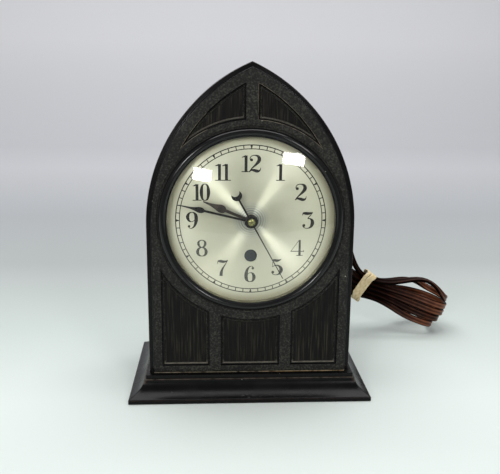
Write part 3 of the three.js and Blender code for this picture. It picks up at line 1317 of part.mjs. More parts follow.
add('seconds_hand', handOnDial(secondsHand(), secondsBore, SECONDS_HAND_LIFT, SECONDS_ANGLE), BLACK_STEEL);
add('seconds_boss', secondsBoss(), BRASS);

add('strain_relief', strainRelief(), BROWN_CORD);
const hank = cordHank();
const upright = new THREE.Vector3(0, 0, 1);
const level = new THREE.Vector3(0, 1, 0);
const lead = freeCord(leadPoints(), 16, upright, hank.ups[0]);
const tail = freeCord(tailPoints(), 18, hank.ups[hank.ups.length - 1], level);
add('cord_lead', cordTube(lead.points, lead.ups, CORD_SIDES), BROWN_CORD);
add('cord_hank', cordTube(hank.points, hank.ups, HANK_SIDES), BROWN_CORD);
add('cord_tail', cordTube(tail.points, tail.ups, CORD_SIDES), BROWN_CORD);
add('hank_band', hankBand(), PALE_RUBBER);
add('plug_body', plugBody(), BROWN_CORD);
add('plug_blade_1', plugBlade(-1), BRASS);
add('plug_blade_2', plugBlade(1), BRASS);
console.log('least gap of the hank to itself, mm:', leastGap(hank.points, hank.ups).toFixed(2));

export default clock;
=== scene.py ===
# Mantel clock in a pointed-arch moulded case: the looks, built around its CAD frame. Metres, +Z up.
import math

import bmesh
import bpy
from mathutils import Matrix, Vector


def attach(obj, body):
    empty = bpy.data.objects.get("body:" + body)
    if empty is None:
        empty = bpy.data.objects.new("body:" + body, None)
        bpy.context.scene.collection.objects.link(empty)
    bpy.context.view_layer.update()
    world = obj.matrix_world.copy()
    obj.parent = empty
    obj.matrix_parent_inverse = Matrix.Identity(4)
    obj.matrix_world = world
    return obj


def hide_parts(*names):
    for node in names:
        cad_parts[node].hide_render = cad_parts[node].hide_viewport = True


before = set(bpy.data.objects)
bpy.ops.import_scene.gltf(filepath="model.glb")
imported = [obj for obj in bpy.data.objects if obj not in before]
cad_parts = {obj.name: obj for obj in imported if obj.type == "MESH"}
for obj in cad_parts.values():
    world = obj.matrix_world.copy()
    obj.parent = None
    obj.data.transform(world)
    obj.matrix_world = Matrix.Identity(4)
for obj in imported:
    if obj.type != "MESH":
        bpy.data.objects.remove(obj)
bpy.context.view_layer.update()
MM = 0.001

# The viewpoint: a camera as high as the clock's top and a little to its left, tipped slightly down.
# Its lens gives the strong perspective of a picture taken from arm's length.
yaw, pitch, roll = (math.radians(a) for a in (3.015, 13.205, 0.522))
forward = Vector((math.sin(yaw) * math.cos(pitch), math.cos(yaw) * math.cos(pitch), -math.sin(pitch)))
level_right = Vector((math.cos(yaw), -math.sin(yaw), 0))
level_up = level_right.cross(forward)
camera_right = level_right * math.cos(roll) + level_up * math.sin(roll)
camera_up = level_up * math.cos(roll) - level_right * math.sin(roll)
camera = bpy.data.objects.new("camera", bpy.data.cameras.new("camera"))
camera.data.lens = 48.45
camera.data.sensor_width = 36
camera.matrix_world = Matrix((camera_right, camera_up, -forward)).transposed().to_4x4()
camera.matrix_world.translation = Vector((-19.92, -398.28, 181.15)) * MM
bpy.context.collection.objects.link(camera)
bpy.context.scene.camera = camera
bpy.context.scene.view_settings.view_transform = "Standard"


# The studio: a pale table that starts just in front of the camera and sweeps up into a pale wall, a dim
# even room, a lamp overhead, one on the wall, and two window-shaped lamps that the glass mirrors.
def tint(code):
    channels = [int(code[i:i + 2], 16) / 255 for i in (1, 3, 5)]
    return tuple(c / 12.92 if c <= 0.04045 else ((c + 0.055) / 1.055) ** 2.4 for c in channels) + (1.0,)


def add_node(tree, kind, inputs=None, **settings):
    """A node with its settings and inputs. A node given as an input passes on its first live output."""
    node = tree.nodes.new(kind)
    for name, value in settings.items():
        setattr(node, name, value)
    for key, value in (inputs or {}).items():
        if isinstance(value, bpy.types.Node):
            value = next(socket for socket in value.outputs if socket.enabled)
        if isinstance(value, bpy.types.NodeSocket):
            tree.links.new(value, node.inputs[key])
        else:
            node.inputs[key].default_value = value
    return node


def object_place(tree):
    return add_node(tree, "ShaderNodeTexCoord").outputs["Object"]


def spread(tree, value, low, high, to_low=0.0, to_high=1.0):
    return add_node(tree, "ShaderNodeMapRange", {"Value": value, "From Min": low, "From Max": high,
                                                 "To Min": to_low, "To Max": to_high})


def blend(tree, share, first, second):
    return add_node(tree, "ShaderNodeMix", {"Factor": share, "A": first, "B": second}, data_type="RGBA")


def coat(tree, inputs):
    shader = add_node(tree, "ShaderNodeBsdfPrincipled", inputs)
    add_node(tree, "ShaderNodeOutputMaterial", {"Surface": shader})


def new_material(name):
    material = bpy.data.materials.new(name)
    material.use_nodes = True
    material.node_tree.nodes.clear()
    return material, material.node_tree


def add_ramp(tree, factor, stops):
    ramp = add_node(tree, "ShaderNodeValToRGB", {"Fac": factor})
    points = ramp.color_ramp.elements
    while len(points) < len(stops):
        points.new(0.5)
    for point, (place, code) in zip(points, stops):
        point.position = place
        point.color = tint(code)
    return ramp.outputs["Color"]


backdrop, tree = new_material("painted backdrop")
axes = add_node(tree, "ShaderNodeSeparateXYZ", {"Vector": object_place(tree)}).outputs
# The table is painted darker towards its back and the wall lighter towards its top: painted shade and light,
# following how the lamps fall off.
floor_tone = add_ramp(tree, spread(tree, axes["Y"], -0.7, 1.3),
                      [(0.33, "#D8E0DC"), (0.39, "#C2CBC7"), (0.48, "#A9AEAE"), (0.6, "#A6A9AC"),
                       (0.85, "#BDBEC2")])
wall_tone = add_ramp(tree, spread(tree, axes["Z"], 0.0, 0.9),
                     [(0.0, "#C6C6CA"), (0.5, "#D9D9DC"), (1.0, "#DDDCE0")])
tone = blend(tree, spread(tree, axes["Z"], 0.0, 0.3), floor_tone, wall_tone)
coat(tree, {"Base Color": tone, "Roughness": 0.9})

sweep = bmesh.new()
table_edge, wall_at, bend, half_width, wall_top = -0.36, 1.9, 0.5, 3.0, 2.6
profile = [(table_edge, 0.0)]
profile += [(wall_at - bend + bend * math.sin(a), bend - bend * math.cos(a))
            for a in (math.radians(7.5 * i) for i in range(13))]
profile += [(wall_at, wall_top)]
edges = [[sweep.verts.new((x, y, z - 0.05 * MM)) for y, z in profile] for x in (-half_width, half_width)]
for i in range(len(profile) - 1):
    sweep.faces.new((edges[0][i], edges[1][i], edges[1][i + 1], edges[0][i + 1])).smooth = True
sweep_mesh = bpy.data.meshes.new("backdrop")
sweep.to_mesh(sweep_mesh)
sweep.free()
sweep_mesh.materials.append(backdrop)
sweep_object = bpy.data.objects.new("backdrop", sweep_mesh)
bpy.context.collection.objects.link(sweep_object)

world = bpy.data.worlds.new("studio")
bpy.context.scene.world = world
world.use_nodes = True
room = world.node_tree.nodes["Background"].inputs
room["Color"].default_value = tint("#F4F6F6")
room["Strength"].default_value = 0.35


def add_lamp(name, place, aim, width, height, watts, roll=0):
    lamp = bpy.data.lights.new(name, "AREA")
    lamp.shape = "RECTANGLE"
    lamp.size = width
    lamp.size_y = height
    lamp.energy = watts
    holder = bpy.data.objects.new(name, lamp)
    holder.location = place
    holder.rotation_euler = (Vector(aim) - Vector(place)).to_track_quat("-Z", "Y").to_euler()
    holder.rotation_euler.rotate_axis("Z", math.radians(roll))
    bpy.context.collection.objects.link(holder)


add_lamp("window_left", (-0.398, -0.939, 0.339), (-0.025, -0.036, 0.132), 0.172, 0.110, 2.6, roll=-7)
add_lamp("window_right", (0.430, -0.892, 0.472), (0.024, -0.035, 0.140), 0.205, 0.108, 2.25, roll=-13)
add_lamp("overhead", (0.0, 0.0, 1.4), (0.0, 0.0, 0.0), 1.4, 0.7, 12.4)
add_lamp("backdrop_wash", (0.0, 0.8, 2.2), (0.0, 1.9, 1.1), 3.0, 0.5, 34.0)


# Plinth: one phenolic moulding with a foot, a long hollow cove, a small step and a ledge, mitred at its
# corners and polished by its mould. Years of handling wore its foot edge brown; the pale line along the
# step and the pale marks on the mitres are painted highlights.
def make_piece(name, bm, materials, body="case", replaces=(), smooth=35, merge=1e-6):
    bmesh.ops.remove_doubles(bm, verts=bm.verts, dist=merge)
    bmesh.ops.recalc_face_normals(bm, faces=bm.faces)
    mesh = bpy.data.meshes.new(name)
    bm.to_mesh(mesh)
    bm.free()
    mesh.shade_smooth()
    mesh.set_sharp_from_angle(angle=math.radians(smooth))
    for material in materials:
        mesh.materials.append(material)
    piece = bpy.data.objects.new(name, mesh)
    bpy.context.collection.objects.link(piece)
    even = piece.modifiers.new("even_normals", "WEIGHTED_NORMAL")
    even.keep_sharp = True
    evaluated = piece.evaluated_get(bpy.context.evaluated_depsgraph_get())
    piece.data = bpy.data.meshes.new_from_object(evaluated)
    piece.modifiers.clear()
    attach(piece, body)
    if replaces:
        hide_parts(*replaces)
    return piece


def skin(bm, rings, material=0):
    rows = [[bm.verts.new(p) for p in ring] for ring in rings]
    count = len(rows[0])
    for low, high in zip(rows, rows[1:]):
        for i in range(count):
            k = (i + 1) % count
            face = bm.faces.new((low[i], low[k], high[k], high[i]))
            face.material_index = material
    return rows


def cap_ends(bm, rows):
    bm.faces.new(list(reversed(rows[0])))
    bm.faces.new(rows[-1])


def paint_wear(bm, amounts):
    layer = bm.verts.layers.float.new("wear_and_glint")
    for vertex in bm.verts:
        vertex[layer] = amounts(vertex.co)


def noise(tree, place, size, detail=4.0):
    return add_node(tree, "ShaderNodeTexNoise", {"Vector": place, "Scale": 1000 / size, "Detail": detail})


def calc(tree, operation, *values, clamp=False):
    return add_node(tree, "ShaderNodeMath", dict(enumerate(values)), operation=operation, use_clamp=clamp)


def bumped(tree, height, strength, depth):
    return add_node(tree, "ShaderNodeBump", {"Height": height, "Strength": strength, "Distance": depth * MM})


def attribute(tree, name):
    return add_node(tree, "ShaderNodeAttribute", attribute_name=name).outputs["Fac"]


def dusted(tree, place, tone, spacing, reach, rarity, colour):
    specks = add_node(tree, "ShaderNodeTexVoronoi", {"Vector": place, "Scale": 1000 / spacing})
    draw = add_node(tree, "ShaderNodeSeparateColor", {"Color": specks.outputs["Color"]}).outputs["Red"]
    chosen = calc(tree, "GREATER_THAN", draw, rarity)
    dust = calc(tree, "MULTIPLY", calc(tree, "LESS_THAN", specks, reach), chosen)
    return blend(tree, dust, tone, tint(colour))


# Polished phenolic: dark brown-black resin, moulded against a bright steel die. A smooth gloss with
# slow clouds in tone and shine, brown where edges have rubbed through, grey to pale where the same
# wear values carry painted highlights on lit edges, and sparse pale dust specks.
def polished_phenolic(name, dark, light, dullness, mirror):
    material, tree = new_material(name)
    place = object_place(tree)
    clouds = noise(tree, place, 14)
    tone = add_ramp(tree, clouds, [(0.3, dark), (0.75, light)])
    wear_and_glint = attribute(tree, "wear_and_glint")
    patchy = spread(tree, noise(tree, place, 3, 5.0), 0.25, 0.6)
    worn_and_lit = calc(tree, "MULTIPLY", calc(tree, "MULTIPLY", wear_and_glint, 2.2, clamp=True), patchy, clamp=True)
    # Low values give brown rubbing and the top end the golden rubbed joint. The grey middle of the ramp is a
    # painted highlight on edges that catch the light.
    light_and_wear = add_ramp(tree, wear_and_glint, [(0.12, "#4A2A1E"), (0.3, "#6A665C"), (0.75, "#B5A88C"), (0.95, "#EEBB76")])
    full_tone = dusted(tree, place, blend(tree, worn_and_lit, tone, light_and_wear), 4.5, 0.045, 0.8, "#A9A598")
    dull = spread(tree, clouds, 0.3, 0.7, dullness, dullness + 0.12)
    coat(tree, {"Base Color": full_tone, "Roughness": calc(tree, "MULTIPLY_ADD", worn_and_lit, 0.3, dull),
                "Normal": bumped(tree, clouds, 0.12, 0.2), "Specular IOR Level": mirror})
    return material


gloss = polished_phenolic("polished phenolic", "#030304", "#070606", 0.2, 0.16)

PLINTH_HALF_X, PLINTH_HALF_Y, PLINTH_TOP = 69.85, 44.45, 13.7
MITRE, NEAR_CORNER = 0.35, 2.2


def plinth_ring(inset, z):
    x, y = PLINTH_HALF_X - inset, PLINTH_HALF_Y - inset
    places = []
    for side, end in ((1, 1), (-1, 1), (-1, -1), (1, -1)):
        corner = [(x, y - NEAR_CORNER), (x, y - MITRE), (x - MITRE, y), (x - NEAR_CORNER, y)]
        places += [(side * px, end * py) for px, py in (corner if side == end else reversed(corner))]
    return [Vector((px, py, z)) * MM for px, py in places]


LEDGE, QUIRK, QUIRK_Z, FOOT_Z, FOOT_ROUND = 9.4, 8.4, 11.2, 2.2, 0.6
cove = [(FOOT_ROUND, FOOT_Z + FOOT_ROUND), (4.2, 4.3), (QUIRK, 7.6), (QUIRK, QUIRK_Z - 0.2)]
moulding = [(0.3, 0.0), (0.0, 0.3), (0.0, FOOT_Z - 0.3), (0.06, FOOT_Z + 0.05), (0.25, FOOT_Z + 0.4)]
for i in range(25):
    t = i / 24
    weights = [(1 - t) ** 3, 3 * t * (1 - t) ** 2, 3 * t * t * (1 - t), t ** 3]
    moulding.append(tuple(sum(w * p[k] for w, p in zip(weights, cove)) for k in (0, 1)))
moulding += [(QUIRK + 0.07, QUIRK_Z - 0.06), (QUIRK + 0.25, QUIRK_Z), (LEDGE - 0.1, QUIRK_Z),
             (LEDGE, QUIRK_Z + 0.1), (LEDGE, QUIRK_Z + 0.4), (LEDGE, 13.4), (LEDGE + 0.1, 13.62),
             (LEDGE + 0.3, PLINTH_TOP), (LEDGE + 1.6, PLINTH_TOP)]
plinth = bmesh.new()
plinth_rows = skin(plinth, [plinth_ring(inset, z) for inset, z in moulding])
cap_ends(plinth, plinth_rows)
# The foot's edge is rubbed brown. The pale line at the step and the pale marks on the mitres are painted
# highlights.
worn_and_lit_levels = [(FOOT_Z, 0.12), (QUIRK_Z, 0.28)]
LEVEL_MARK_REACH, MITRE_GLINT, MITRE_GLINT_LOW = 0.22, 0.26, 8.5


def plinth_wear(at):
    x, y, z = at / MM
    level = max(amount * max(0, 1 - abs(z - worn_and_lit) / LEVEL_MARK_REACH) for worn_and_lit, amount in worn_and_lit_levels)
    at_mitre = abs((PLINTH_HALF_X - abs(x)) - (PLINTH_HALF_Y - abs(y))) < 1
    return MITRE_GLINT if at_mitre and MITRE_GLINT_LOW < z < QUIRK_Z else level


paint_wear(plinth, plinth_wear)
make_piece("plinth_moulding", plinth, [gloss], replaces=["plinth"])


# Case: one phenolic shell in a pointed arch. Its raised face is stippled by the mould, with sunk
# panels of vertical grain, each framed by a thin bead; the outer edge and the sides are polished.
ARCH_HALF, ARCH_SPRING, ARCH_TOP = 58.6, 101.0, 190.5
ARCH_RADIUS = (ARCH_HALF + (ARCH_TOP - ARCH_SPRING) ** 2 / ARCH_HALF) / 2
ARCH_CENTRE = ARCH_RADIUS - ARCH_HALF
DIAL_Z = 104.0
FACE_Y = -31.8


def spaced(start, end, count):
    return [start + (end - start) * i / count for i in range(count + 1)]


def arc(x, z, radius, turns):
    return [(x + radius * math.cos(t), z + radius * math.sin(t)) for t in turns]


def flat_ring(points, y):
    return [Vector((x, y, z)) * MM for x, z in points]


def arch_ring(inset, base, y):
    radius = ARCH_RADIUS - inset
    half = ARCH_HALF - inset
    points = [(x, base) for x in spaced(-half, half, 8)[:-1]]
    rises = [0.0, 0.012, 0.2, 0.4, 0.6, 0.8]
    points += [(half, base + (ARCH_SPRING - base) * share) for share in rises]
    flank = arc(-ARCH_CENTRE, ARCH_SPRING, radius, spaced(0, math.acos(ARCH_CENTRE / radius), 40))
    points += flank[:-1] + [(-x, z) for x, z in flank[:0:-1]]
    points += [(-half, base + (ARCH_SPRING - base) * share) for share in [1.0] + rises[:0:-1]]
    return flat_ring(points, y)


def circle_ring(radius, y, centre=(0.0, DIAL_Z), sides=128):
    return flat_ring(arc(*centre, radius, spaced(0, 2 * math.pi, sides)[:-1]), y)


TRACERY, UPPER_TRACERY, PANEL_LOW, HALF_MULLION, ARCH_RAIL = 57.6, 55.8, 17.9, 3.2, 8.4


def lower_panel(left, right, inset):
    left, right, low = left + inset, right - inset, PANEL_LOW + inset
    radius = TRACERY + inset
    crown = arc(0.0, DIAL_Z, radius, spaced(-math.acos(right / radius), -math.acos(left / radius), 24))
    return [(left, low + NEAR_CORNER), (left, low), (right, low), (right, low + NEAR_CORNER)] + crown


def upper_panel(inset):
    mullion, outer, inner = HALF_MULLION + inset, ARCH_RADIUS - ARCH_RAIL - inset, UPPER_TRACERY + inset
    apart = math.hypot(ARCH_CENTRE, DIAL_Z - ARCH_SPRING)
    along = (outer ** 2 - inner ** 2 + apart ** 2) / (2 * apart)
    tip = math.atan2(DIAL_Z - ARCH_SPRING, ARCH_CENTRE) + math.acos(along / outer)
    top = math.acos((mullion + ARCH_CENTRE) / outer)
    arch = arc(-ARCH_CENTRE, ARCH_SPRING, outer, spaced(tip, top, 24))
    low = math.acos(mullion / inner)
    tip_low = math.atan2(arch[0][1] - DIAL_Z, arch[0][0])
    circle = arc(0.0, DIAL_Z, inner, spaced(low, tip_low, 24)[:-1])
    above_corner = (mullion, DIAL_Z + inner * math.sin(low) + NEAR_CORNER)
    return arch + [above_corner] + circle


def panel_rings(outline, mirror, profile):
    rings = []
    for inset, depth in profile:
        flat = [(-x, z) for x, z in reversed(outline(inset))] if mirror else outline(inset)
        rings.append(flat_ring(flat, FACE_Y + depth))
    return rings


def fill(bm, loops, material):
    edges = []
    for loop in loops:
        for i, vertex in enumerate(loop):
            edge = bm.edges.get((vertex, loop[(i + 1) % len(loop)]))
            edges.append(edge or bm.edges.new((vertex, loop[(i + 1) % len(loop)])))
    made = bmesh.ops.triangle_fill(bm, edges=edges, use_beauty=True)
    for face in (g for g in made["geom"] if isinstance(g, bmesh.types.BMFace)):
        face.material_index = material


# Stippled phenolic: the same resin against an etched die. A dull grey-brown with a fine stipple,
# drawn a little coarser than the real grit so that it shows.
stipple, tree = new_material("stippled phenolic")
place = object_place(tree)
grit = noise(tree, place, 0.9, 3.0)
mixed = calc(tree, "MULTIPLY_ADD", grit, 0.9, calc(tree, "MULTIPLY", noise(tree, place, 22), 0.3))
tone = add_ramp(tree, mixed, [(0.44, "#0D0D0B"), (0.6, "#1B1B18"), (0.76, "#3A3933")])
# The pale worn tone on the stipple is a painted highlight on the crests of the panel beads that face up.
worn_and_lit = calc(tree, "MULTIPLY", attribute(tree, "wear_and_glint"), noise(tree, place, 2.5, 5.0), clamp=True)
dusty = dusted(tree, place, blend(tree, worn_and_lit, tone, tint("#9A9384")), 7, 0.05, 0.72, "#C9C6BC")
coat(tree, {"Base Color": dusty, "Roughness": 0.5, "Normal": bumped(tree, grit, 0.8, 0.14),
            "Specular IOR Level": 0.2})


# Grained phenolic: the sunk fields, moulded with a vertical wood grain about half a millimetre wide.
# Darker and browner than the rails, with a satin sheen along the grain.
def streaked(tree, scale):
    drawn_out = add_node(tree, "ShaderNodeMapping", {"Vector": object_place(tree), "Scale": scale})
    return add_node(tree, "ShaderNodeTexNoise", {"Vector": drawn_out, "Scale": 1.0, "Detail": 4.0})


grained, tree = new_material("grained phenolic")
streaks = streaked(tree, (1000 / 0.7, 1000 / 4, 1000 / 16))
tone = add_ramp(tree, streaks, [(0.38, "#050404"), (0.55, "#100E0C"), (0.72, "#302D24")])
coat(tree, {"Base Color": tone, "Roughness": 0.42, "Normal": bumped(tree, streaks, 0.7, 0.18),
            "Specular IOR Level": 0.14})

CASE_LOW, CASE_FRONT, CASE_BACK, INNER_WALL = 13.7, -29.8, 31.8, 3.0
case = bmesh.new()
wear_and_glint_layer = case.verts.layers.float.new("wear_and_glint")
shell = [(1.4, 30.2, 15.1), (1.4, 31.5, 15.1), (1.1, CASE_BACK, 14.8), (0.4, CASE_BACK, CASE_LOW),
         (0.1, 31.65, CASE_LOW), (0.0, 31.3, CASE_LOW), (0.0, 20.0, CASE_LOW), (0.0, -10.0, CASE_LOW),
         (0.0, -29.2, CASE_LOW), (0.06, -29.45, CASE_LOW), (0.2, -29.65, CASE_LOW),
         (0.5, CASE_FRONT, CASE_LOW), (2.05, CASE_FRONT, CASE_LOW), (2.35, -29.95, CASE_LOW),
         (2.5, -30.25, CASE_LOW)]
face_edge = [(2.5, -30.25, CASE_LOW), (2.5, -31.2, CASE_LOW), (2.6, -31.43, CASE_LOW),
             (2.8, -31.7, CASE_LOW), (3.1, FACE_Y, CASE_LOW + 0.7)]
inside = [(1.4, 30.2, 15.1), (INNER_WALL, 30.2, 16.7), (INNER_WALL, -26.3, 16.7)]
shell_rows, face_rows, inside_rows = (
    skin(case, [arch_ring(inset, base, y) for inset, y, base in profile])
    for profile in (shell, face_edge, inside))

OPENING, GROOVE_OUT, GROOVE_DEEP = 49.4, 52.5, 0.4
round_the_dial = [(GROOVE_OUT + 0.3, 0.0), (GROOVE_OUT + 0.12, 0.05), (GROOVE_OUT, 0.18),
                  (GROOVE_OUT - 0.05, GROOVE_DEEP), (51.3, GROOVE_DEEP), (51.3, 0.01), (OPENING, 0.01),
                  (OPENING, 5.5)]
round_rows = skin(case, [circle_ring(radius, FACE_Y + lift) for radius, lift in round_the_dial], material=1)

sunk_edge = [(0.0, 0.0), (0.12, 0.06), (0.24, 0.2), (0.32, 0.5), (0.4, 0.95), (0.85, 1.0)]
panel_bead = [(0.85, 1.0), (1.0, 0.8), (1.2, 0.45), (1.5, 0.28), (1.8, 0.45), (2.0, 0.8), (2.15, 1.0)]
SIDE_PANEL, CENTRE_PANEL = (23.5, 50.9), (-17.1, 17.1)
LIP_GLINT, UPPER_BEAD_GLINT, LOWER_BEAD_GLINT, CORNER_WEAR = 0.45, 0.35, 0.65, 0.14
FOOT_WEAR, RIGHT_FOOT_WEAR = 0.7, 1.0


# Sets the wear attribute: real rubbing on the outer corner and the foot, painted highlights on the panel lips
# and beads.
def rub(rows, amount):
    for row in rows:
        for vertex in row:
            vertex[wear_and_glint_layer] = amount(vertex.co / MM)


# Painted highlight: a pale line on the upper panels' lips, on the edges that catch the light.
def rubbed_lip(at):
    return LIP_GLINT if at.z > DIAL_Z and (at.x > 3 or at.x < -24) else 0.0


# Painted highlight on the bead crests along the panels' lower edges, which face up into the light.
def rubbed_bead(at):
    if at.z > DIAL_Z:
        return UPPER_BEAD_GLINT if math.hypot(at.x, at.z - DIAL_Z) < UPPER_TRACERY + 2 else 0.0
    return LOWER_BEAD_GLINT if at.z < PANEL_LOW + 2 else 0.0


def rubbed_corner(at):
    return CORNER_WEAR if at.z > CASE_LOW + 1 else 0.0


def rubbed_foot(at):
    if at.z > CASE_LOW + 0.1:
        return 0.0
    return RIGHT_FOOT_WEAR if at.x > 8 else FOOT_WEAR


def side_panel(inset):
    return lower_panel(*SIDE_PANEL, inset)


def centre_panel(inset):
    return lower_panel(*CENTRE_PANEL, inset)


panels = [(side_panel, False), (side_panel, True), (centre_panel, False), (upper_panel, False),
          (upper_panel, True)]
panel_mouths = []
for outline, mirror in panels:
    edge_rows = skin(case, panel_rings(outline, mirror, sunk_edge), material=0)
    bead_rows = skin(case, panel_rings(outline, mirror, panel_bead), material=1)
    rub(edge_rows[1:3], rubbed_lip)
    rub(bead_rows[2:5], rubbed_bead)
    panel_mouths.append(edge_rows[0])
    fill(case, [bead_rows[-1]], 2)
fill(case, [face_rows[-1], round_rows[0]] + panel_mouths, 1)
fill(case, [inside_rows[-1], round_rows[-1]], 0)
rub(shell_rows[9:11], rubbed_corner)
rub([face_rows[3]], rubbed_foot)
make_piece("case_shell", case, [gloss, stipple, grained], replaces=["case_body"])


# Bezel: a phenolic ring turned to a plump bead, polished, with a thin lip over the glass.
# It is pressed into the round opening of the case.
def turned(name, profile, materials, body="case", replaces=(), centre=(0.0, DIAL_Z), sides=128,
           smooth=35):
    bm = bmesh.new()
    skin(bm, [circle_ring(radius, y, centre, sides) for radius, y in profile])
    return make_piece(name, bm, materials, body, replaces, smooth)


BEZEL_OUT, SIGHT, SHOULDER, LIP_BACK, BEZEL_RISE = 51.6, 46.9, 0.6, -34.0, 3.5
half_bead = (BEZEL_OUT - SIGHT) / 2
shoulder_y = FACE_Y - SHOULDER
bead = [(BEZEL_OUT, FACE_Y), (BEZEL_OUT, shoulder_y)]
bead += [(SIGHT + half_bead + half_bead * math.cos(t), shoulder_y - (BEZEL_RISE - SHOULDER) * math.sin(t))
         for t in spaced(0, math.radians(133), 18)[1:]]
bead += [(47.4, -34.5), (47.05, -34.48), (SIGHT, -34.35), (SIGHT, LIP_BACK), (48.0, LIP_BACK),
         (48.0, -28.8), (49.1, -28.8), (49.1, FACE_Y), (BEZEL_OUT, FACE_Y)]
buffed = polished_phenolic("buffed phenolic", "#040405", "#080809", 0.1, 0.36)
turned("bezel_bead", bead, [buffed], replaces=["bezel_ring"])

# Glass retainer: a rolled brass hoop behind the glass, which spaces the dial from it.
# Its inner face catches the light as a pale band round the dial.
hoop_brass, tree = new_material("lacquered brass hoop")
tone = add_ramp(tree, noise(tree, object_place(tree), 9), [(0.3, "#6F6C5A"), (0.7, "#8A8770")])
coat(tree, {"Base Color": tone, "Metallic": 0.7, "Roughness": 0.42})
hoop = [(SIGHT, -31.95), (47.7, -31.95), (47.7, -28.8), (SIGHT, -28.8), (SIGHT, -31.95)]
turned("glass_hoop", hoop, [hoop_brass], replaces=["glass_retainer"])

# Glass: a clear crystal slumped to a shallow dome, with a flat rim behind the bezel's lip.
# Clear soda glass, so only its mirror images show.
crystal, tree = new_material("clear glass")
in_shadow = add_node(tree, "ShaderNodeLightPath").outputs["Is Shadow Ray"]
clear = add_node(tree, "ShaderNodeBsdfTransparent")
dense = add_node(tree, "ShaderNodeBsdfPrincipled", {
    "Base Color": tint("#FBFCFB"), "Roughness": 0.015, "IOR": 1.36, "Transmission Weight": 1.0})
shade = add_node(tree, "ShaderNodeMixShader", {"Fac": in_shadow, 1: dense, 2: clear})
add_node(tree, "ShaderNodeOutputMaterial", {"Surface": shade})
RIM, RIM_OUT, DOME, GLASS, RIM_FRONT = 46.6, 47.7, 7.4, 1.6, -33.7
ball = (RIM ** 2 + DOME ** 2) / (2 * DOME)
outer_dome = [(r, RIM_FRONT - DOME + ball - math.sqrt(ball ** 2 - r ** 2)) for r in spaced(0, RIM, 20)[1:]]
inner_dome = [(r, y + GLASS) for r, y in reversed(outer_dome)]
dome_profile = [(0.001, RIM_FRONT - DOME)] + outer_dome + [(RIM_OUT, RIM_FRONT), (RIM_OUT, RIM_FRONT + GLASS)]
dome_profile += inner_dome + [(0.001, RIM_FRONT - DOME + GLASS)]
turned("glass_crystal", dome_profile, [crystal], replaces=["glass_dome"], smooth=10)


# Dial: a silvered sheet, spun with fine circles so that light fans out from its centre, lacquered
# warm with age. Its outer margin is painted darker as the bezel's shadow. It has a bushed centre hole
# and a round window, and rests on four posts.
def vector_step(tree, operation, *values):
    return add_node(tree, "ShaderNodeVectorMath", dict(enumerate(values)), operation=operation)


silvered, tree = new_material("spun silvered brass")
place = object_place(tree)
from_centre = vector_step(tree, "SUBTRACT", place, (0.0, 0.0, DIAL_Z * MM))
flat = vector_step(tree, "MULTIPLY", from_centre, (1.0, 0.0, 1.0))
radius = vector_step(tree, "LENGTH", flat)
tone = add_ramp(tree, noise(tree, place, 26, 5.0), [(0.25, "#AEAE97"), (0.5, "#B9B9A3"), (0.8, "#C4C4B1")])
# Painted shadow: the margin outside the track is darkened where the bezel shades the dial.
rim_shadowed = blend(tree, spread(tree, radius, 41.4 * MM, 46.0 * MM), tone, tint("#918E77"))
wave = calc(tree, "SINE", calc(tree, "MULTIPLY", radius, 2 * math.pi / (1.3 * MM)))
near = spread(tree, radius, 5.5 * MM, 11.0 * MM, 1.0, 0.0)
fine_rings = calc(tree, "MULTIPLY", wave, near)
ring_shade = calc(tree, "MULTIPLY", spread(tree, fine_rings, -1.0, 1.0, 0.0, 0.8), near)
silver = blend(tree, ring_shade, rim_shadowed, tint("#6A7480"))
coat(tree, {"Base Color": silver, "Metallic": spread(tree, radius, 14.0 * MM, 36.0 * MM, 0.56, 0.2),
            "Roughness": 0.34, "Anisotropic": 1.0, "Tangent": vector_step(tree, "NORMALIZE", flat),
            "Normal": bumped(tree, fine_rings, 0.35, 0.1)})

DIAL_FRONT, DIAL_BACK, WINDOW, WINDOW_Z, HUB_HOLE = -28.8, -28.2, 3.6, 83.6, 3.4
dial = bmesh.new()
rim = [(48.95, DIAL_BACK), (49.05, -28.5), (48.95, DIAL_FRONT)]
rim_rows = skin(dial, [circle_ring(radius, y) for radius, y in rim])
hub_rows, window_rows = (
    skin(dial, [circle_ring(radius, y, (0.0, z), 48) for y in (DIAL_BACK, DIAL_FRONT)])
    for radius, z in ((HUB_HOLE, DIAL_Z), (WINDOW, WINDOW_Z)))
fill(dial, [rim_rows[-1], hub_rows[-1], window_rows[-1]], 0)
fill(dial, [rim_rows[0], hub_rows[0], window_rows[0]], 0)
make_piece("dial_sheet", dial, [silvered], replaces=["dial"])

# Printing: hour numbers with thick and thin strokes and round ends, and a minute track of two thin
# rings with cross marks. Black ink, a few hundredths of a millimetre thick, painted greyer on the lower
# half as a painted reflection in the glass.
ink, tree = new_material("black printing ink")
place = object_place(tree)
patches = noise(tree, place, 1.5, 3.0)
black = add_ramp(tree, patches, [(0.3, "#080808"), (0.75, "#151412")])
grey = add_ramp(tree, patches, [(0.3, "#2C2D29"), (0.75, "#474842")])
height = add_node(tree, "ShaderNodeSeparateXYZ", {"Vector": place}).outputs["Z"]
# Painted reflection: the ink turns grey towards the bottom of the dial.
lower_reflection = spread(tree, height, (DIAL_Z + 2) * MM, (DIAL_Z - 14) * MM)
coat(tree, {"Base Color": blend(tree, lower_reflection, black, grey), "Roughness": 0.5, "Specular IOR Level": 0.2})
INK_FRONT, INK_BACK = DIAL_FRONT - 0.04, DIAL_FRONT + 0.02


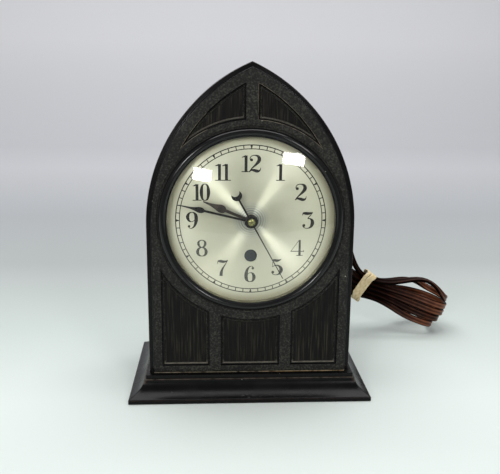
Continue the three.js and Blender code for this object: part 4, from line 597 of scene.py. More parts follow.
def smooth_line(points, closed=False, steps=7):
    count = len(points)
    line = []
    for i in range(count if closed else count - 1):
        near = [(i + k) % count if closed else min(max(i + k, 0), count - 1) for k in (-1, 0, 1, 2)]
        four = [points[k] for k in near]
        for step in range(steps):
            t = step / steps
            line.append(tuple(0.5 * (2 * b + (c - a) * t + (2 * a - 5 * b + 4 * c - d) * t ** 2
                                     + (3 * b - a - 3 * c + d) * t ** 3) for a, b, c, d in zip(*four)))
    return line if closed else line + [points[-1]]


def stroke(bm, line, closed=False):
    """A flat band of ink along a line of (x, z, half width), as a thin closed solid."""
    rings = []
    for i, (x, z, half) in enumerate(line):
        back = line[i - 1] if closed or i else line[0]
        ahead = line[(i + 1) % len(line)] if closed or i + 1 < len(line) else line[-1]
        run = Vector((ahead[0] - back[0], ahead[1] - back[1])).normalized()
        side = Vector((-run.y, run.x)) * half
        rings.append([Vector((x + side.x * s, y, z + side.y * s)) * MM
                      for s, y in ((1, INK_FRONT), (-1, INK_FRONT), (-1, INK_BACK), (1, INK_BACK))])
    rows = skin(bm, rings + [rings[0]] if closed else rings)
    if not closed:
        bm.faces.new(rows[0])
        bm.faces.new(list(reversed(rows[-1])))


def blot(bm, x, z, radius):
    cap_ends(bm, skin(bm, [circle_ring(radius, y, (x, z), 24) for y in (INK_BACK, INK_FRONT - 0.004)]))


# Each figure is drawn in a box one unit high, its middle at x = 0: curved strokes, straight strokes
# and round ends.
def mirrored(half):
    return half + [(-x, z, weight) for x, z, weight in half[-2:0:-1]]


ring_0 = mirrored([(0, 0.985, .018), (0.19, 0.87, .05), (0.255, 0.5, .085), (0.19, 0.13, .05),
                   (0, 0.015, .018)])
upper_8 = mirrored([(0, 0.985, .018), (0.16, 0.91, .04), (0.2, 0.765, .06), (0.13, 0.61, .045),
                    (0, 0.545, .025)])
lower_8 = mirrored([(0, 0.545, .025), (0.18, 0.46, .05), (0.25, 0.275, .075), (0.18, 0.085, .05),
                    (0, 0.015, .018)])
curve_6 = [(0.2, 0.84, .02), (0.12, 0.965, .014), (0, 0.965, .02), (-0.15, 0.81, .05), (-0.235, 0.5, .08),
           (-0.22, 0.2, .075), (-0.12, 0.045, .035), (0.01, 0.015, .018), (0.15, 0.08, .045),
           (0.225, 0.29, .08), (0.16, 0.5, .05), (0.03, 0.575, .018), (-0.1, 0.53, .014), (-0.19, 0.4, .012)]
FIGURES = {
    "0": {"rings": [ring_0]},
    "1": {"lines": [[(0.02, 0.03, .085), (0.02, 0.97, .085)], [(-0.19, 0.03, .024), (0.23, 0.03, .024)]],
          "curves": [[(0.0, 0.955, .035), (-0.08, 0.9, .03), (-0.18, 0.865, .014)]]},
    "2": {"curves": [[(-0.2, 0.7, .03), (-0.235, 0.8, .02), (-0.17, 0.93, .02), (-0.01, 0.98, .022),
                      (0.15, 0.91, .06), (0.205, 0.74, .085), (0.13, 0.56, .07), (-0.03, 0.36, .04),
                      (-0.17, 0.19, .025), (-0.26, 0.04, .016)],
                     [(-0.26, 0.055, .024), (-0.15, 0.13, .042), (-0.02, 0.105, .066), (0.1, 0.065, .07),
                      (0.2, 0.08, .046), (0.255, 0.16, .022), (0.27, 0.26, .012)]],
          "blots": [(-0.165, 0.715, .078)]},
    "3": {"lines": [[(0.24, 0.965, .022), (0.0, 0.6, .024)]],
          "curves": [[(-0.24, 0.79, .012), (-0.215, 0.92, .036), (-0.1, 0.915, .07), (0.06, 0.91, .062),
                      (0.24, 0.97, .018)],
                     [(0.0, 0.6, .014), (0.12, 0.595, .03), (0.22, 0.48, .07), (0.235, 0.3, .085),
                      (0.16, 0.1, .05), (0.0, 0.015, .018), (-0.15, 0.05, .018), (-0.235, 0.16, .02)]],
          "blots": [(-0.175, 0.185, .08)]},
    "4": {"lines": [[(0.1, 0.98, .014), (-0.31, 0.285, .014)], [(-0.32, 0.285, .022), (0.33, 0.285, .022)],
                    [(0.12, 0.03, .07), (0.12, 0.98, .055)], [(-0.04, 0.025, .02), (0.28, 0.025, .02)],
                    [(0.325, 0.23, .012), (0.325, 0.36, .012)]]},
    "5": {"lines": [[(-0.17, 0.95, .014), (-0.2, 0.5, .014)]],
          "curves": [[(-0.18, 0.96, .018), (-0.08, 0.915, .062), (0.06, 0.9, .058), (0.2, 0.955, .024),
                      (0.235, 1.0, .01)],
                     [(-0.2, 0.5, .012), (-0.08, 0.595, .018), (0.06, 0.6, .03), (0.2, 0.48, .065),
                      (0.235, 0.3, .085), (0.16, 0.1, .05), (0.0, 0.015, .018), (-0.15, 0.05, .018),
                      (-0.225, 0.16, .02)]],
          "blots": [(-0.17, 0.185, .075)]},
    "6": {"curves": [curve_6], "blots": [(0.155, 0.85, .068)]},
    "7": {"curves": [[(-0.24, 0.75, .01), (-0.22, 0.92, .026), (-0.11, 0.92, .064), (0.05, 0.89, .062),
                      (0.18, 0.92, .036), (0.26, 0.985, .016)],
                     [(0.26, 0.985, .012), (0.13, 0.72, .022), (0.0, 0.45, .045), (-0.06, 0.22, .068),
                      (-0.075, 0.01, .078)]]},
    "8": {"rings": [upper_8, lower_8]},
    "9": {"curves": [[(-x, 1 - z, half) for x, z, half in curve_6]], "blots": [(-0.155, 0.15, .068)]},
}
FIGURE_HEIGHT, FIGURE_WIDTH, FIGURE_RADIUS = 9.5, 11.6, 31.8
CURVE_WEIGHT, RING_WEIGHT, BLOT_WEIGHT = 1.25, 1.2, 1.1
NARROWED = {"0": 0.66, "6": 0.84, "8": 0.83, "9": 0.88}
ADVANCE = {"1": 0.33, "0": 0.46, "2": 0.56}
SHIFTED = {1: (0.0, -0.5), 4: (-1.2, 0.0), 5: (-1.2, 0.4), 6: (-0.2, 0.7), 9: (-1.2, 0.0), 11: (0.0, -0.5)}
print_mesh = bmesh.new()


def sized(line, x0, z0, wide, heavy=1.0):
    return [(x0 + x * wide, z0 + z * FIGURE_HEIGHT, heavy * half * FIGURE_HEIGHT) for x, z, half in line]


for hour in range(1, 13):
    turn = math.radians(30 * hour)
    text = str(hour)
    widths = [ADVANCE.get(c, 0.62) for c in text]
    pen = -sum(widths) / 2
    side, rise = SHIFTED.get(hour, (0.0, 0.0))
    for letter, width in zip(text, widths):
        place = (FIGURE_RADIUS * math.sin(turn) + side + (pen + width / 2) * FIGURE_WIDTH,
                 DIAL_Z + FIGURE_RADIUS * math.cos(turn) + rise - FIGURE_HEIGHT / 2,
                 FIGURE_WIDTH * NARROWED.get(letter, 1.0))
        pen += width
        drawn = FIGURES[letter]
        for line in drawn.get("lines", []):
            stroke(print_mesh, sized(line, *place))
        for line in drawn.get("curves", []):
            stroke(print_mesh, sized(smooth_line(line), *place, CURVE_WEIGHT))
        for line in drawn.get("rings", []):
            stroke(print_mesh, sized(smooth_line(line, closed=True), *place, RING_WEIGHT), closed=True)
        for x, z, radius in sized(drawn.get("blots", []), *place, BLOT_WEIGHT):
            blot(print_mesh, x, z, radius)
TRACK_OUT, TRACK_IN = 42.0, 39.9
for radius, half in ((TRACK_OUT, 0.28), (TRACK_IN, 0.24)):
    track = arc(0.0, DIAL_Z, radius, spaced(0, 2 * math.pi, 180)[:-1])
    stroke(print_mesh, [(x, z, half) for x, z in track], closed=True)
make_piece("dial_numbers", print_mesh, [ink], merge=1e-9)


# Minute marks: sixty cross marks between the two rings, every fifth one a heavier wedge.
# Printed with the numbers in the same black ink; a node tree sets them round the dial.
def growth_tree(name, sizes, meshes=()):
    tree = bpy.data.node_groups.new(name, "GeometryNodeTree")
    tree.interface.new_socket("Geometry", in_out="OUTPUT", socket_type="NodeSocketGeometry")
    for label in meshes:
        tree.interface.new_socket(label, in_out="INPUT", socket_type="NodeSocketGeometry")
    for label in sizes:
        tree.interface.new_socket(label, in_out="INPUT", socket_type="NodeSocketFloat")
    return tree, add_node(tree, "NodeGroupInput").outputs


def xyz(tree, **axes):
    return add_node(tree, "ShaderNodeCombineXYZ", axes)


def grown(name, tree, copies, material, sizes, places=()):
    """A plain mesh from a tree that makes copies, with its sizes set and some places to fill."""
    real = add_node(tree, "GeometryNodeRealizeInstances", {"Geometry": copies})
    finished = add_node(tree, "GeometryNodeSetMaterial", {"Geometry": real, "Material": material})
    add_node(tree, "NodeGroupOutput", {"Geometry": finished})
    seed = bpy.data.meshes.new(name)
    seed.from_pydata(places, [], [])
    piece = bpy.data.objects.new(name, seed)
    bpy.context.collection.objects.link(piece)
    growth = piece.modifiers.new("growth", "NODES")
    growth.node_group = tree
    for socket in tree.interface.items_tree:
        if socket.in_out == "INPUT" and socket.name in sizes:
            growth[socket.identifier] = sizes[socket.name]
    evaluated = piece.evaluated_get(bpy.context.evaluated_depsgraph_get())
    piece.data = bpy.data.meshes.new_from_object(evaluated)
    piece.modifiers.clear()
    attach(piece, "case")


mark_sizes = {"Track radius": (TRACK_OUT + TRACK_IN) / 2 * MM, "Mark length": (TRACK_OUT - TRACK_IN) * MM,
              "Mark width": 0.5 * MM, "Wedge width": 1.5 * MM}
tree, given = growth_tree("minute_marks", mark_sizes)
index = add_node(tree, "GeometryNodeInputIndex")
turn = calc(tree, "MULTIPLY", index, math.pi / 30)
across = calc(tree, "MULTIPLY", calc(tree, "SINE", turn), given["Track radius"])
up = calc(tree, "MULTIPLY_ADD", calc(tree, "COSINE", turn), given["Track radius"], DIAL_Z * MM)
spot = xyz(tree, X=across, Y=(INK_FRONT + INK_BACK) / 2 * MM, Z=up)
points = add_node(tree, "GeometryNodePoints", {"Count": 60})
placed = add_node(tree, "GeometryNodeSetPosition", {"Geometry": points, "Position": spot})
mark_size = xyz(tree, X=given["Mark width"], Y=(INK_BACK - INK_FRONT) * MM, Z=given["Mark length"])
mark = add_node(tree, "GeometryNodeMeshCube", {"Size": mark_size})
spin = xyz(tree, Y=turn)
bars = add_node(tree, "GeometryNodeInstanceOnPoints", {"Points": placed, "Instance": mark, "Rotation": spin})
half_wedge = calc(tree, "MULTIPLY", given["Wedge width"], 0.7071)
wedge = add_node(tree, "GeometryNodeMeshCone", {"Vertices": 4, "Radius Top": half_wedge,
                 "Radius Bottom": 0.2 * MM, "Depth": given["Mark length"]})
drop = xyz(tree, Z=calc(tree, "MULTIPLY", given["Mark length"], -0.5))
square = add_node(tree, "GeometryNodeTransform", {"Geometry": wedge, "Translation": drop,
                  "Rotation": (0.0, 0.0, math.pi / 4)})
thin = add_node(tree, "GeometryNodeTransform", {"Geometry": square, "Scale": (1.0, 0.04, 1.0)})
fifth = calc(tree, "MODULO", index, 5.0)
at_hour = add_node(tree, "FunctionNodeCompare", {0: fifth, 1: 0.5}, operation="LESS_THAN")
wedges = add_node(tree, "GeometryNodeInstanceOnPoints", {"Points": placed, "Selection": at_hour,
                  "Instance": thin, "Rotation": spin})
both = add_node(tree, "GeometryNodeJoinGeometry", {"Geometry": bars})
tree.links.new(wedges.outputs["Instances"], both.inputs["Geometry"])
grown("minute_marks", tree, both, ink, mark_sizes)


# Hands, indicator and movement: punched and blackened steel hands, brass plates and wheels, steel
# arbors, an iron core of thin sheets with a taped coil. The solids keep their shapes.
def plain_finish(name, dark, light, grain_mm, metallic, roughness, stretch=(1, 1, 1), bump=0.1, mirror=0.5):
    material, tree = new_material(name)
    grain = streaked(tree, [1000 / grain_mm * share for share in stretch])
    tone = add_ramp(tree, grain, [(0.3, dark), (0.72, light)])
    dull = spread(tree, grain, 0.0, 1.0, roughness - 0.08, roughness + 0.1)
    coat(tree, {"Base Color": tone, "Metallic": metallic, "Roughness": dull,
                "Normal": bumped(tree, grain, bump, 0.1), "Specular IOR Level": mirror})
    return material


blued = plain_finish("blackened steel", "#030303", "#0B0A08", 3, 0.0, 0.28, mirror=0.3)
# The hour hand's brown is a painted glare: a reflection painted onto blackened steel.
glare_painted_steel = plain_finish("blackened steel with painted glare", "#0C0907", "#3D342B", 3, 0.0, 0.3, mirror=0.4)
brass = plain_finish("drawn brass", "#94783A", "#BFA25C", 1.2, 1.0, 0.32, (1, 1, 0.12))
steel = plain_finish("turned steel", "#7C7C7A", "#A9A9A6", 0.6, 1.0, 0.3, (0.2, 1, 0.2))
iron = plain_finish("stacked sheet iron", "#3B3936", "#6A6762", 0.5, 0.8, 0.5, (0.03, 1, 0.03), 0.5)
fibre = plain_finish("vulcanised fibre", "#63371E", "#8A5633", 2.5, 0.0, 0.6)
tape = plain_finish("varnished cotton tape", "#4F2616", "#84492C", 1.4, 0.0, 0.6, (1, 0.1, 0.1), 0.6)
slate = plain_finish("grey enamel", "#161C1D", "#1F2627", 5, 0.0, 0.5, mirror=0.2)
finishes = {
    blued: ["minute_hand", "minute_hand_nut"],
    glare_painted_steel: ["hour_hand"],
    steel: ["rotor_arbor", "first_arbor", "second_arbor", "seconds_arbor", "third_arbor", "set_arbor",
            "minute_stud", "plate_pillar_1", "plate_pillar_2", "plate_pillar_3", "plate_pillar_4"],
    iron: ["rotor", "field_core"],
    fibre: ["coil_bobbin", "first_wheel"],
    tape: ["coil_winding"],
    slate: ["start_indicator"],
}
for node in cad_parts.values():
    node.data.materials.clear()
    node.data.materials.append(brass)
for finish, names in finishes.items():
    for name in names:
        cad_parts[name].data.materials[0] = finish

# Seconds hand: a needle cut from blackened steel and pressed on the seconds arbor, with a round hub
# and, on its tail, a heavy crescent.
SWEEP_FRONT, SWEEP_BACK, SWEEP_TURN, SWEEP_LENGTH = -34.6, -34.1, math.radians(151), 37.0
SWEEP_HUB, CRESCENT, CRESCENT_AT, BITE, BITE_OFFSET = 3.04, 2.95, -16.95, 2.35, 2.0
horn = (BITE_OFFSET ** 2 + CRESCENT ** 2 - BITE ** 2) / (2 * BITE_OFFSET)
outer_end, bite_end = math.acos(-horn / CRESCENT), math.acos((BITE_OFFSET - horn) / BITE)
right_side = [(0.2, SWEEP_LENGTH)]
right_side += [(SWEEP_HUB * math.sin(t), SWEEP_HUB * math.cos(t))
               for t in (math.radians(7 + 14.9 * i) for i in range(12))]
right_side += [(CRESCENT * math.sin(t), CRESCENT_AT + CRESCENT * math.cos(t))
               for t in spaced(0.17, outer_end, 12)]
right_side += [(BITE * math.sin(t), CRESCENT_AT - BITE_OFFSET + BITE * math.cos(t))
               for t in spaced(0, bite_end, 8)[-2::-1]]
outline = right_side + [(-x, z) for x, z in reversed(right_side[:-1])]
along_x, along_z = math.sin(SWEEP_TURN), math.cos(SWEEP_TURN)
outline = [(x * along_z + z * along_x, DIAL_Z - x * along_x + z * along_z) for x, z in outline]
sweep_hand = bmesh.new()
for row in skin(sweep_hand, [flat_ring(outline, y) for y in (SWEEP_FRONT, SWEEP_BACK)]):
    sweep_hand.faces.new(row)
make_piece("sweep_hand", sweep_hand, [blued], "seconds_group", ["seconds_hand"])

# Seconds boss: a small domed brass cap, turned and pressed on the end of the seconds arbor.
# Its lacquer has gone green-gold, and its crown catches the light.
cap_front, cap_back, cap_radius = -35.7, -34.6, 2.1
cap = [(0.001, cap_front)]
cap += [(cap_radius * math.sin(t), cap_back - 0.3 - (cap_back - 0.3 - cap_front) * math.cos(t))
        for t in (math.radians(9 * i) for i in range(1, 11))]
cap += [(cap_radius, cap_back), (0.75, cap_back), (0.75, -34.95), (0.001, -34.95)]
aged_brass = plain_finish("tarnished brass", "#5F5E38", "#9C9A68", 1.2, 0.9, 0.24)
turned("seconds_cap", cap, [aged_brass], "seconds_group", ["seconds_boss"], sides=40)

# Rear cover: a sheet of black lacquered steel let into the back of the case. Holes let the rotor's
# arbor, the setting arbor and the sleeve of the lead through.
COVER_FRONT, COVER_BACK, COVER_INSET, COVER_LOW = 30.25, 31.6, 1.65, 15.35
ROTOR_AXIS, SET_AXIS, GLAND = (0.0, WINDOW_Z), (19.7616, 108.3811), (34.0, 126.0)
lacquer = plain_finish("black lacquered steel", "#131211", "#211F1D", 1.0, 0.0, 0.5, bump=0.3)
cover = bmesh.new()
cover_edge = [(0.0, COVER_FRONT), (0.0, COVER_BACK - 0.25), (0.08, COVER_BACK - 0.08), (0.25, COVER_BACK)]
edge_rows = skin(cover, [arch_ring(COVER_INSET + more, COVER_LOW + more, y) for more, y in cover_edge])
hole_rows = [skin(cover, [circle_ring(radius, y, centre, 48) for y in (COVER_FRONT, COVER_BACK)])
             for radius, centre in ((1.8, ROTOR_AXIS), (2.2, SET_AXIS), (3.5, GLAND))]
fill(cover, [edge_rows[0]] + [rows[0] for rows in hole_rows], 0)
fill(cover, [edge_rows[-1]] + [rows[-1] for rows in hole_rows], 0)
make_piece("back_sheet", cover, [lacquer], replaces=["rear_cover"])

# Rear screws: four slotted round-head steel screws that hold the lacquered back to the case.
# A node tree sets one screw, a slotted dome, at each of the four places.
SCREW_PLACES = [(-46, 24), (46, 24), (-40, 140), (40, 140)]
screw_sizes = {"Head radius": 1.75 * MM, "Head height": 1.0 * MM, "Slot width": 0.5 * MM}
tree, given = growth_tree("slotted_screws", screw_sizes, ["Places"])
ball = add_node(tree, "GeometryNodeMeshUVSphere", {"Segments": 24, "Rings": 16, "Radius": 1.0})
head_size = xyz(tree, X=given["Head radius"], Y=given["Head height"], Z=given["Head radius"])
head = add_node(tree, "GeometryNodeTransform", {"Geometry": ball, "Scale": head_size})
slot_size = xyz(tree, X=5 * MM, Y=given["Head height"], Z=given["Slot width"])
slot_box = add_node(tree, "GeometryNodeMeshCube", {"Size": slot_size})
slot_place = xyz(tree, Y=given["Head height"])
slot = add_node(tree, "GeometryNodeTransform", {"Geometry": slot_box, "Translation": slot_place,
                "Rotation": (0.0, 0.6, 0.0)})
slotted = add_node(tree, "GeometryNodeMeshBoolean", {"Mesh 1": head, "Mesh 2": slot}, operation="DIFFERENCE")
spots = add_node(tree, "GeometryNodeMeshToPoints", {"Mesh": given["Places"]})
copies = add_node(tree, "GeometryNodeInstanceOnPoints", {"Points": spots, "Instance": slotted})
grown("rear_screws", tree, copies, steel, screw_sizes, flat_ring(SCREW_PLACES, COVER_BACK))


# Knobs: the starter spins the rotor, the smaller one sets the hands. Fluted phenolic mouldings pushed
# on their arbors.
KNOB_FRONT, KNOB_LENGTH, FLUTES, FLUTE_DEPTH, KNOB_WEAR = 32.2, 11.0, 12, 0.5, 0.05
knob_side = [(0.62, 0.0), (0.62, 0.16), (0.66, 0.2), (0.94, 0.28), (1.0, 0.34), (1.0, 0.78), (0.96, 0.88),
             (0.86, 0.955), (0.7, 0.99), (0.5, 1.0), (0.3, 0.985), (0.0005, 0.98)]


def fluted_knob(name, radius, bore, centre, body, node):
    rings = [(0.0005, 0.7), (bore, 0.7), (bore, 0.0)]
    rings += [(share * radius, along) for share, along in knob_side]
    bm = bmesh.new()
    shaped = []
    for r, along in rings:
        ring = []
        for t in spaced(0, 2 * math.pi, FLUTES * 10)[:-1]:
            cut = FLUTE_DEPTH * (0.5 - 0.5 * math.cos(FLUTES * t)) ** 1.5 if r > 0.8 * radius else 0.0
            ring.append(Vector((centre[0] + (r - cut) * math.cos(t), KNOB_FRONT + along * KNOB_LENGTH,
                                centre[1] + (r - cut) * math.sin(t))) * MM)
        shaped.append(ring)
    skin(bm, shaped)
    paint_wear(bm, lambda at: KNOB_WEAR)
    return make_piece(name, bm, [gloss], body, [node], smooth=40)


fluted_knob("starter_grip", 8.45, 0.85, ROTOR_AXIS, "rotor_group", "starter_knob")
fluted_knob("setting_grip", 5.95, 1.25, SET_AXIS, "set_group", "set_knob")

# Strain relief: a tapered rubber sleeve with shallow rings, held in the back by its two flanges.
# Brown rubber, dull, like the cord.
rubber = plain_finish("brown rubber", "#1A0905", "#33150B", 2.2, 0.0, 0.34, bump=0.12, mirror=0.3)
SLEEVE_OUT, SLEEVE_NECK, SLEEVE_START, SLEEVE_LENGTH, SLEEVE_GROOVE = 4.4, 3.2, 33.1, 18.7, 0.25
sleeve = [(0.001, 28.7), (SLEEVE_OUT, 28.7), (SLEEVE_OUT, 29.9), (SLEEVE_NECK, 29.9), (SLEEVE_NECK, 31.9),
          (SLEEVE_OUT, 31.9), (SLEEVE_OUT, SLEEVE_START)]
for i in range(40):
    along = i / 39
    groove = SLEEVE_GROOVE if 3 < i % 8 < 7 and i < 34 else 0.0
    sleeve.append((SLEEVE_OUT + (SLEEVE_NECK - SLEEVE_OUT) * along - groove,
                   SLEEVE_START + SLEEVE_LENGTH * along))
sleeve += [(3.0, 51.9), (0.001, 51.9)]
relief_piece = turned("cord_sleeve", sleeve, [rubber], replaces=["strain_relief"], centre=GLAND,
                      sides=32)

# Mains lead: flat twin cord in brown rubber, two round cores with a groove between. It leaves the
# sleeve, is folded into a hank of five loops tied with a band, and ends in a plug on the table.
CORD_WIDTH, CORD_THICK = 4.8, 2.4
HANK_LOOPS, HANK_SPACING, WAIST_HALF = 5, 1.09, 2.25
WAIST_TWIST, TWIST_FROM, TWIST_TO = 0.85, 0.1, 0.75
WAIST = Vector((88, 68, 35.5))
RIGHT_HANDLE, RIGHT_END = Vector((115.9, 72.6, 25.8)), Vector((148.5, 76, 13.4))
LEFT_HANDLE, LEFT_END = Vector((69.4, 64.9, 42)), Vector((33.5, 51.4, 88))
RIGHT_SWELL, LEFT_SWELL, REACH_FALL, REACH_TOP = 35.5, 41, 0.8, 1.5
ARCH_LIFT, FAR_ARCH_LIFT, ARCH_TWIST, FIRST_LIFT, LAST_DROP = 8.6, 2.8, 1.4, 6, 1.5
LEAD_PHASE, TAIL_PHASE = math.radians(30), math.radians(15)


def hank_axis(share):
    handle, end = (RIGHT_HANDLE, RIGHT_END) if share >= 0 else (LEFT_HANDLE, LEFT_END)
    t = abs(share)
    spot = WAIST * (1 - t) ** 2 + handle * (2 * t * (1 - t)) + end * t * t
    run = (handle - WAIST) * (1 - t) + (end - handle) * t
    run = (run if share >= 0 else -run).normalized()
    across = Vector((0, 0, 1)).cross(run).normalized()
    return spot, across, run.cross(across)


def hank_twist(share):
    t = min(max((abs(share) - TWIST_FROM) / (TWIST_TO - TWIST_FROM), 0), 1)
    return WAIST_TWIST * (1 - t * t * (3 - 2 * t))


def hank_pitch(twist):
    return HANK_SPACING / math.hypot(math.cos(twist) / CORD_WIDTH, math.sin(twist) / CORD_THICK)


def hank_point(phase):
    loop = math.floor(phase / (2 * math.pi) + 0.5)
    share = math.cos(phase)
    far = min(max(phase / math.pi - 2 * loop, 0), 1)
    earlier = far * far * (3 - 2 * far)
    swell = RIGHT_SWELL if share >= 0 else 0 if phase < -math.pi / 2 else LEFT_SWELL
    shorter = REACH_FALL * (loop - REACH_TOP) ** 2 / (RIGHT_END - WAIST).length
    reach = 1 - shorter * share if share >= 0 else 1
    spot, across, up = hank_axis(share * reach)
    bow = math.sin(math.pi * share ** 1.5) ** 2 if loop == 0 and share > 0 else 0
    before = max(-math.pi / 2 - phase, 0) / LEAD_PHASE
    after = max(phase - 2 * math.pi * (HANK_LOOPS - 1) - math.pi / 2, 0) / TAIL_PHASE
    arch = (ARCH_LIFT if phase < 0 else FAR_ARCH_LIFT) * bow
    lift = arch + FIRST_LIFT * before ** 2 - LAST_DROP * after ** 2
    twist = hank_twist(share)
    height = ((HANK_LOOPS - 1) / 2 - loop - earlier) * hank_pitch(twist) + lift
    spot += across * (math.sin(phase) * (WAIST_HALF + swell * share * share)) + up * height
    twist += (ARCH_TWIST - twist) * bow
    return spot, up * math.cos(twist) + across * math.sin(twist)


def between(a, b, start, end, t):
    return a * ((end - t) / (end - start)) + b * ((t - start) / (end - start))


def free_run(points, spacing):
    """Points along a smooth line through a few places, about evenly spaced."""
    knots = [points[0] * 2 - points[1]] + points + [points[-1] * 2 - points[-2]]
    line = []
    for a, b, c, d in zip(knots, knots[1:], knots[2:], knots[3:]):
        t1 = (b - a).length ** 0.5
        t2 = t1 + (c - b).length ** 0.5
        t3 = t2 + (d - c).length ** 0.5
        for t in spaced(t1, t2, 24)[:-1]:
            middle = between(b, c, t1, t2, t)
            first = between(between(a, b, 0, t1, t), middle, 0, t2, t)
            second = between(middle, between(c, d, t2, t3, t), t1, t3, t)
            line.append(between(first, second, t1, t2, t))
    line.append(points[-1])
    kept = [line[0]]
    for point in line[1:]:
        if (point - kept[-1]).length >= spacing:
            kept.append(point)
    if (line[-1] - kept[-1]).length > spacing * 0.3:
        kept.append(line[-1])
    return kept


hank_start = -math.pi / 2 - LEAD_PHASE
hank_end = 2 * math.pi * (HANK_LOOPS - 1) + math.pi / 2 + TAIL_PHASE
phases = spaced(hank_start, hank_end, 96 * HANK_LOOPS)
hank = [hank_point(phase) for phase in phases]


def hank_out(phase, ahead, length):
    here, near = hank_point(phase)[0], hank_point(phase + ahead)[0]
    return here + (here - near).normalized() * length


lead_route = [(34, 51.9, 126), (34, 58, 126), (35.3, 68, 123.7), (39, 75.3, 117.4), (44, 78, 108.7),
              (49, 75.3, 100.3), (53.6, 70.6, 93.4), (58.2, 66.2, 87.2), (62.8, 63.4, 81.8)]
lead = free_run([Vector(p) for p in lead_route] + [hank_out(hank_start, 0.01, l) for l in (14.4, 5.1)], 2.0)
tail_route = [(45.4, 70.5, 41.8), (37.8, 71.3, 42.6), (28.7, 71.8, 40.2), (20.6, 72, 32.8), (16, 72, 25.2),
              (11.3, 72, 17.2), (4, 72, 9.9), (-6, 72, 7.2), (-10, 72, 7.2), (-16, 72, 7.2)]
tail = free_run([hank_out(hank_end, -0.01, l) for l in (5.1, 14.4)] + [Vector(p) for p in tail_route], 2.0)
first_up, last_up = hank[0][1], hank[-1][1]
upright, level = Vector((0, 0, 1)), Vector((0, 1, 0))


def ease(share):
    t = min(max((share - 0.1) / 0.8, 0), 1)
    return t * t * (3 - 2 * t)


route = [(p, upright.lerp(first_up, ease(i / len(lead)))) for i, p in enumerate(lead)]
route += hank
route += [(p, last_up.lerp(level, ease(i / len(tail)))) for i, p in enumerate(tail)]

# Cord rubber: extruded and brown. The crowns of the cores are painted paler towards the hank's end and
# on some loops more than others, as painted highlights and light; the grooves and the waist are painted
# nearly black and dull, as painted shade.
cord_rubber, tree = new_material("extruded brown rubber")
crown = attribute(tree, "crown")
lit = calc(tree, "MULTIPLY_ADD", noise(tree, object_place(tree), 5), 0.35, crown)
tone = add_ramp(tree, lit, [(0.3, "#040101"), (0.6, "#1A0A05"), (0.8, "#42200F"), (1.0, "#6E3E25")])
coat(tree, {"Base Color": tone, "Roughness": 0.34,
            "Specular IOR Level": spread(tree, crown, 0.35, 0.9, 0.02, 0.3)})
core, web = CORD_THICK / 2, 0.98
apart = CORD_WIDTH / 2 - core
half_arc = math.pi - math.acos(math.sqrt(1 - (web / core) ** 2))
section = [(core * math.sin(t), apart + core * math.cos(t)) for t in spaced(-half_arc, half_arc, 20)]
section += [(-thin, -wide) for thin, wide in section]
cord = bmesh.new()
crown_layer = cord.verts.layers.float.new("crown")
cord_rings = []
for i, (point, up) in enumerate(route):
    run = (route[min(i + 1, len(route) - 1)][0] - route[max(i - 1, 0)][0]).normalized()
    wide = (up - run * run.dot(up)).normalized()
    thin = wide.cross(run)
    cord_rings.append([(point + thin * a + wide * b) * MM for a, b in section])
cord_rows = skin(cord, cord_rings)
# Painted light along the cord: paler crowns towards the hank's right end and on some loops, darkest in the
# grooves and at the waist.
LEAST_CORD_LIGHT, FREE_CORD_LIGHT = 0.38, 0.5
loop_light = (0.45, 0.65, 0.55, 0.3, 0.6)
cord_light = [FREE_CORD_LIGHT] * len(lead)
for phase in phases:
    loop = math.floor(phase / (2 * math.pi) + 0.5)
    cord_light.append(LEAST_CORD_LIGHT + loop_light[loop] * max(math.cos(phase), 0) ** 1.5)
cord_light += [FREE_CORD_LIGHT] * len(tail)
for row, light_and_wear in zip(cord_rows, cord_light):
    for vertex, (thin, _) in zip(row, section):
        vertex[crown_layer] = light_and_wear * (abs(thin) / core) ** 1.5
cap_ends(cord, cord_rows)
lead_piece = make_piece("mains_lead", cord, [cord_rubber], replaces=["cord_lead", "cord_hank", "cord_tail"],
                        smooth=60, merge=1e-8)

# Band: a pale rubber band wound three times round the hank's waist, its turns a little askew.
# Aged natural rubber, dull and faintly cracked.
pale_rubber = plain_finish("aged natural rubber", "#D2B884", "#EEDDB8", 1.6, 0.0, 0.6, bump=0.3)
BAND_CLEAR_WIDE, BAND_CLEAR_HIGH, BAND_OFFSET = 1.9, 2.2, 0.7
BAND_HALF_WIDTH, BAND_HALF_THICK = 1.45, 0.5
BAND_CORNER, BAND_LEAN, BAND_SLEW = 4.4, 0.32, 0.65
waist_spot, waist_across, waist_up = hank_axis(0)
waist_run = waist_across.cross(waist_up)
band_middle = waist_spot - waist_run * BAND_OFFSET
waist_pitch = hank_pitch(hank_twist(0))
cord_high = math.hypot(math.cos(WAIST_TWIST) * CORD_WIDTH, math.sin(WAIST_TWIST) * CORD_THICK)
cord_wide = math.hypot(math.sin(WAIST_TWIST) * CORD_WIDTH, math.cos(WAIST_TWIST) * CORD_THICK)
band_wide = WAIST_HALF + cord_wide / 2 + BAND_CLEAR_WIDE
band_high = (HANK_LOOPS - 0.5) / 2 * waist_pitch + cord_high / 2 + BAND_CLEAR_HIGH


def rounded(half_wide, half_high, corner, steps):
    """Spots round a rectangle with rounded corners, each with its direction out of the corner."""
    spots = []
    for k in range(4):
        middle = Vector(((half_wide - corner) * (1 if k in (0, 3) else -1),
                         (half_high - corner) * (1 if k in (0, 1) else -1)))
        for i in range(steps + 1):
            t = math.radians(90 * (k + i / steps))
            out = Vector((math.cos(t), math.sin(t)))
            spots.append((middle + out * corner, out))
    return spots


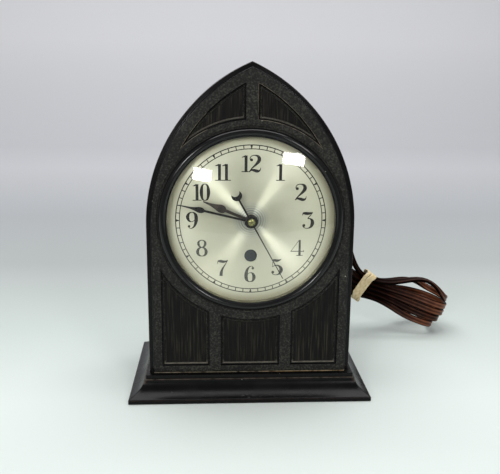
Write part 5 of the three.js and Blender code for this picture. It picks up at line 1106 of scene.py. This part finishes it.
band = bmesh.new()
for along, slant in ((-2.5, -0.04), (0.05, 0.03), (2.5, -0.01)):
    rings = []
    for spot, out in rounded(band_wide, band_high, BAND_CORNER, 7):
        ring = []
        for s in spaced(0, 2 * math.pi, 10)[:-1]:
            flat = spot + out * (BAND_HALF_THICK * math.cos(s))
            slew = BAND_SLEW * flat.x * (1 - (flat.y / band_high) ** 2)
            run = along + BAND_HALF_WIDTH * math.sin(s) + slant * flat.y + slew
            rise = flat.y - waist_pitch / 4
            up_part = rise * math.cos(BAND_LEAN) - run * math.sin(BAND_LEAN)
            run_part = rise * math.sin(BAND_LEAN) + run * math.cos(BAND_LEAN)
            leaned = waist_across * flat.x + waist_up * up_part + waist_run * run_part
            ring.append((band_middle + leaned) * MM)
        rings.append(ring)
    skin(band, rings + [rings[0]])
band_piece = make_piece("hank_tie", band, [pale_rubber], replaces=["hank_band"],
                        smooth=70)

# Plug: a brown moulded grip that swells from the cord to the face, with finger hollows and two brass
# blades. It lies flat on the table behind the clock.
PLUG_X, PLUG_Y, PLUG_Z, PLUG_LENGTH, PLUG_ROUND = -16.0, 72.0, 7.2, 28.0, 0.3
plug_sizes = [(0.0, 7.4, 5.6), (0.01, 8.0, 6.0), (0.12, 8.8, 6.4), (0.25, 10.0, 7.0), (0.33, 13.0, 9.2),
              (0.4, 17.2, 11.2), (0.5, 18.6, 11.7), (0.62, 19.2, 11.8), (0.72, 21.4, 12.6), (0.8, 24.0, 14.0),
              (0.97, 24.0, 14.0), (1.0, 23.2, 13.2)]
plug = bmesh.new()
plug_rings = []
for share, wide, high in smooth_line(plug_sizes, steps=4):
    spots = rounded(wide / 2, high / 2, high * PLUG_ROUND, 6)
    plug_rings.append([Vector((PLUG_X - PLUG_LENGTH * share, PLUG_Y + spot.x, PLUG_Z + spot.y)) * MM
                       for spot, _ in spots])
plug_rows = skin(plug, plug_rings)
cap_ends(plug, plug_rows)
plug_piece = make_piece("plug_grip", plug, [rubber], replaces=["plug_body"], smooth=50)
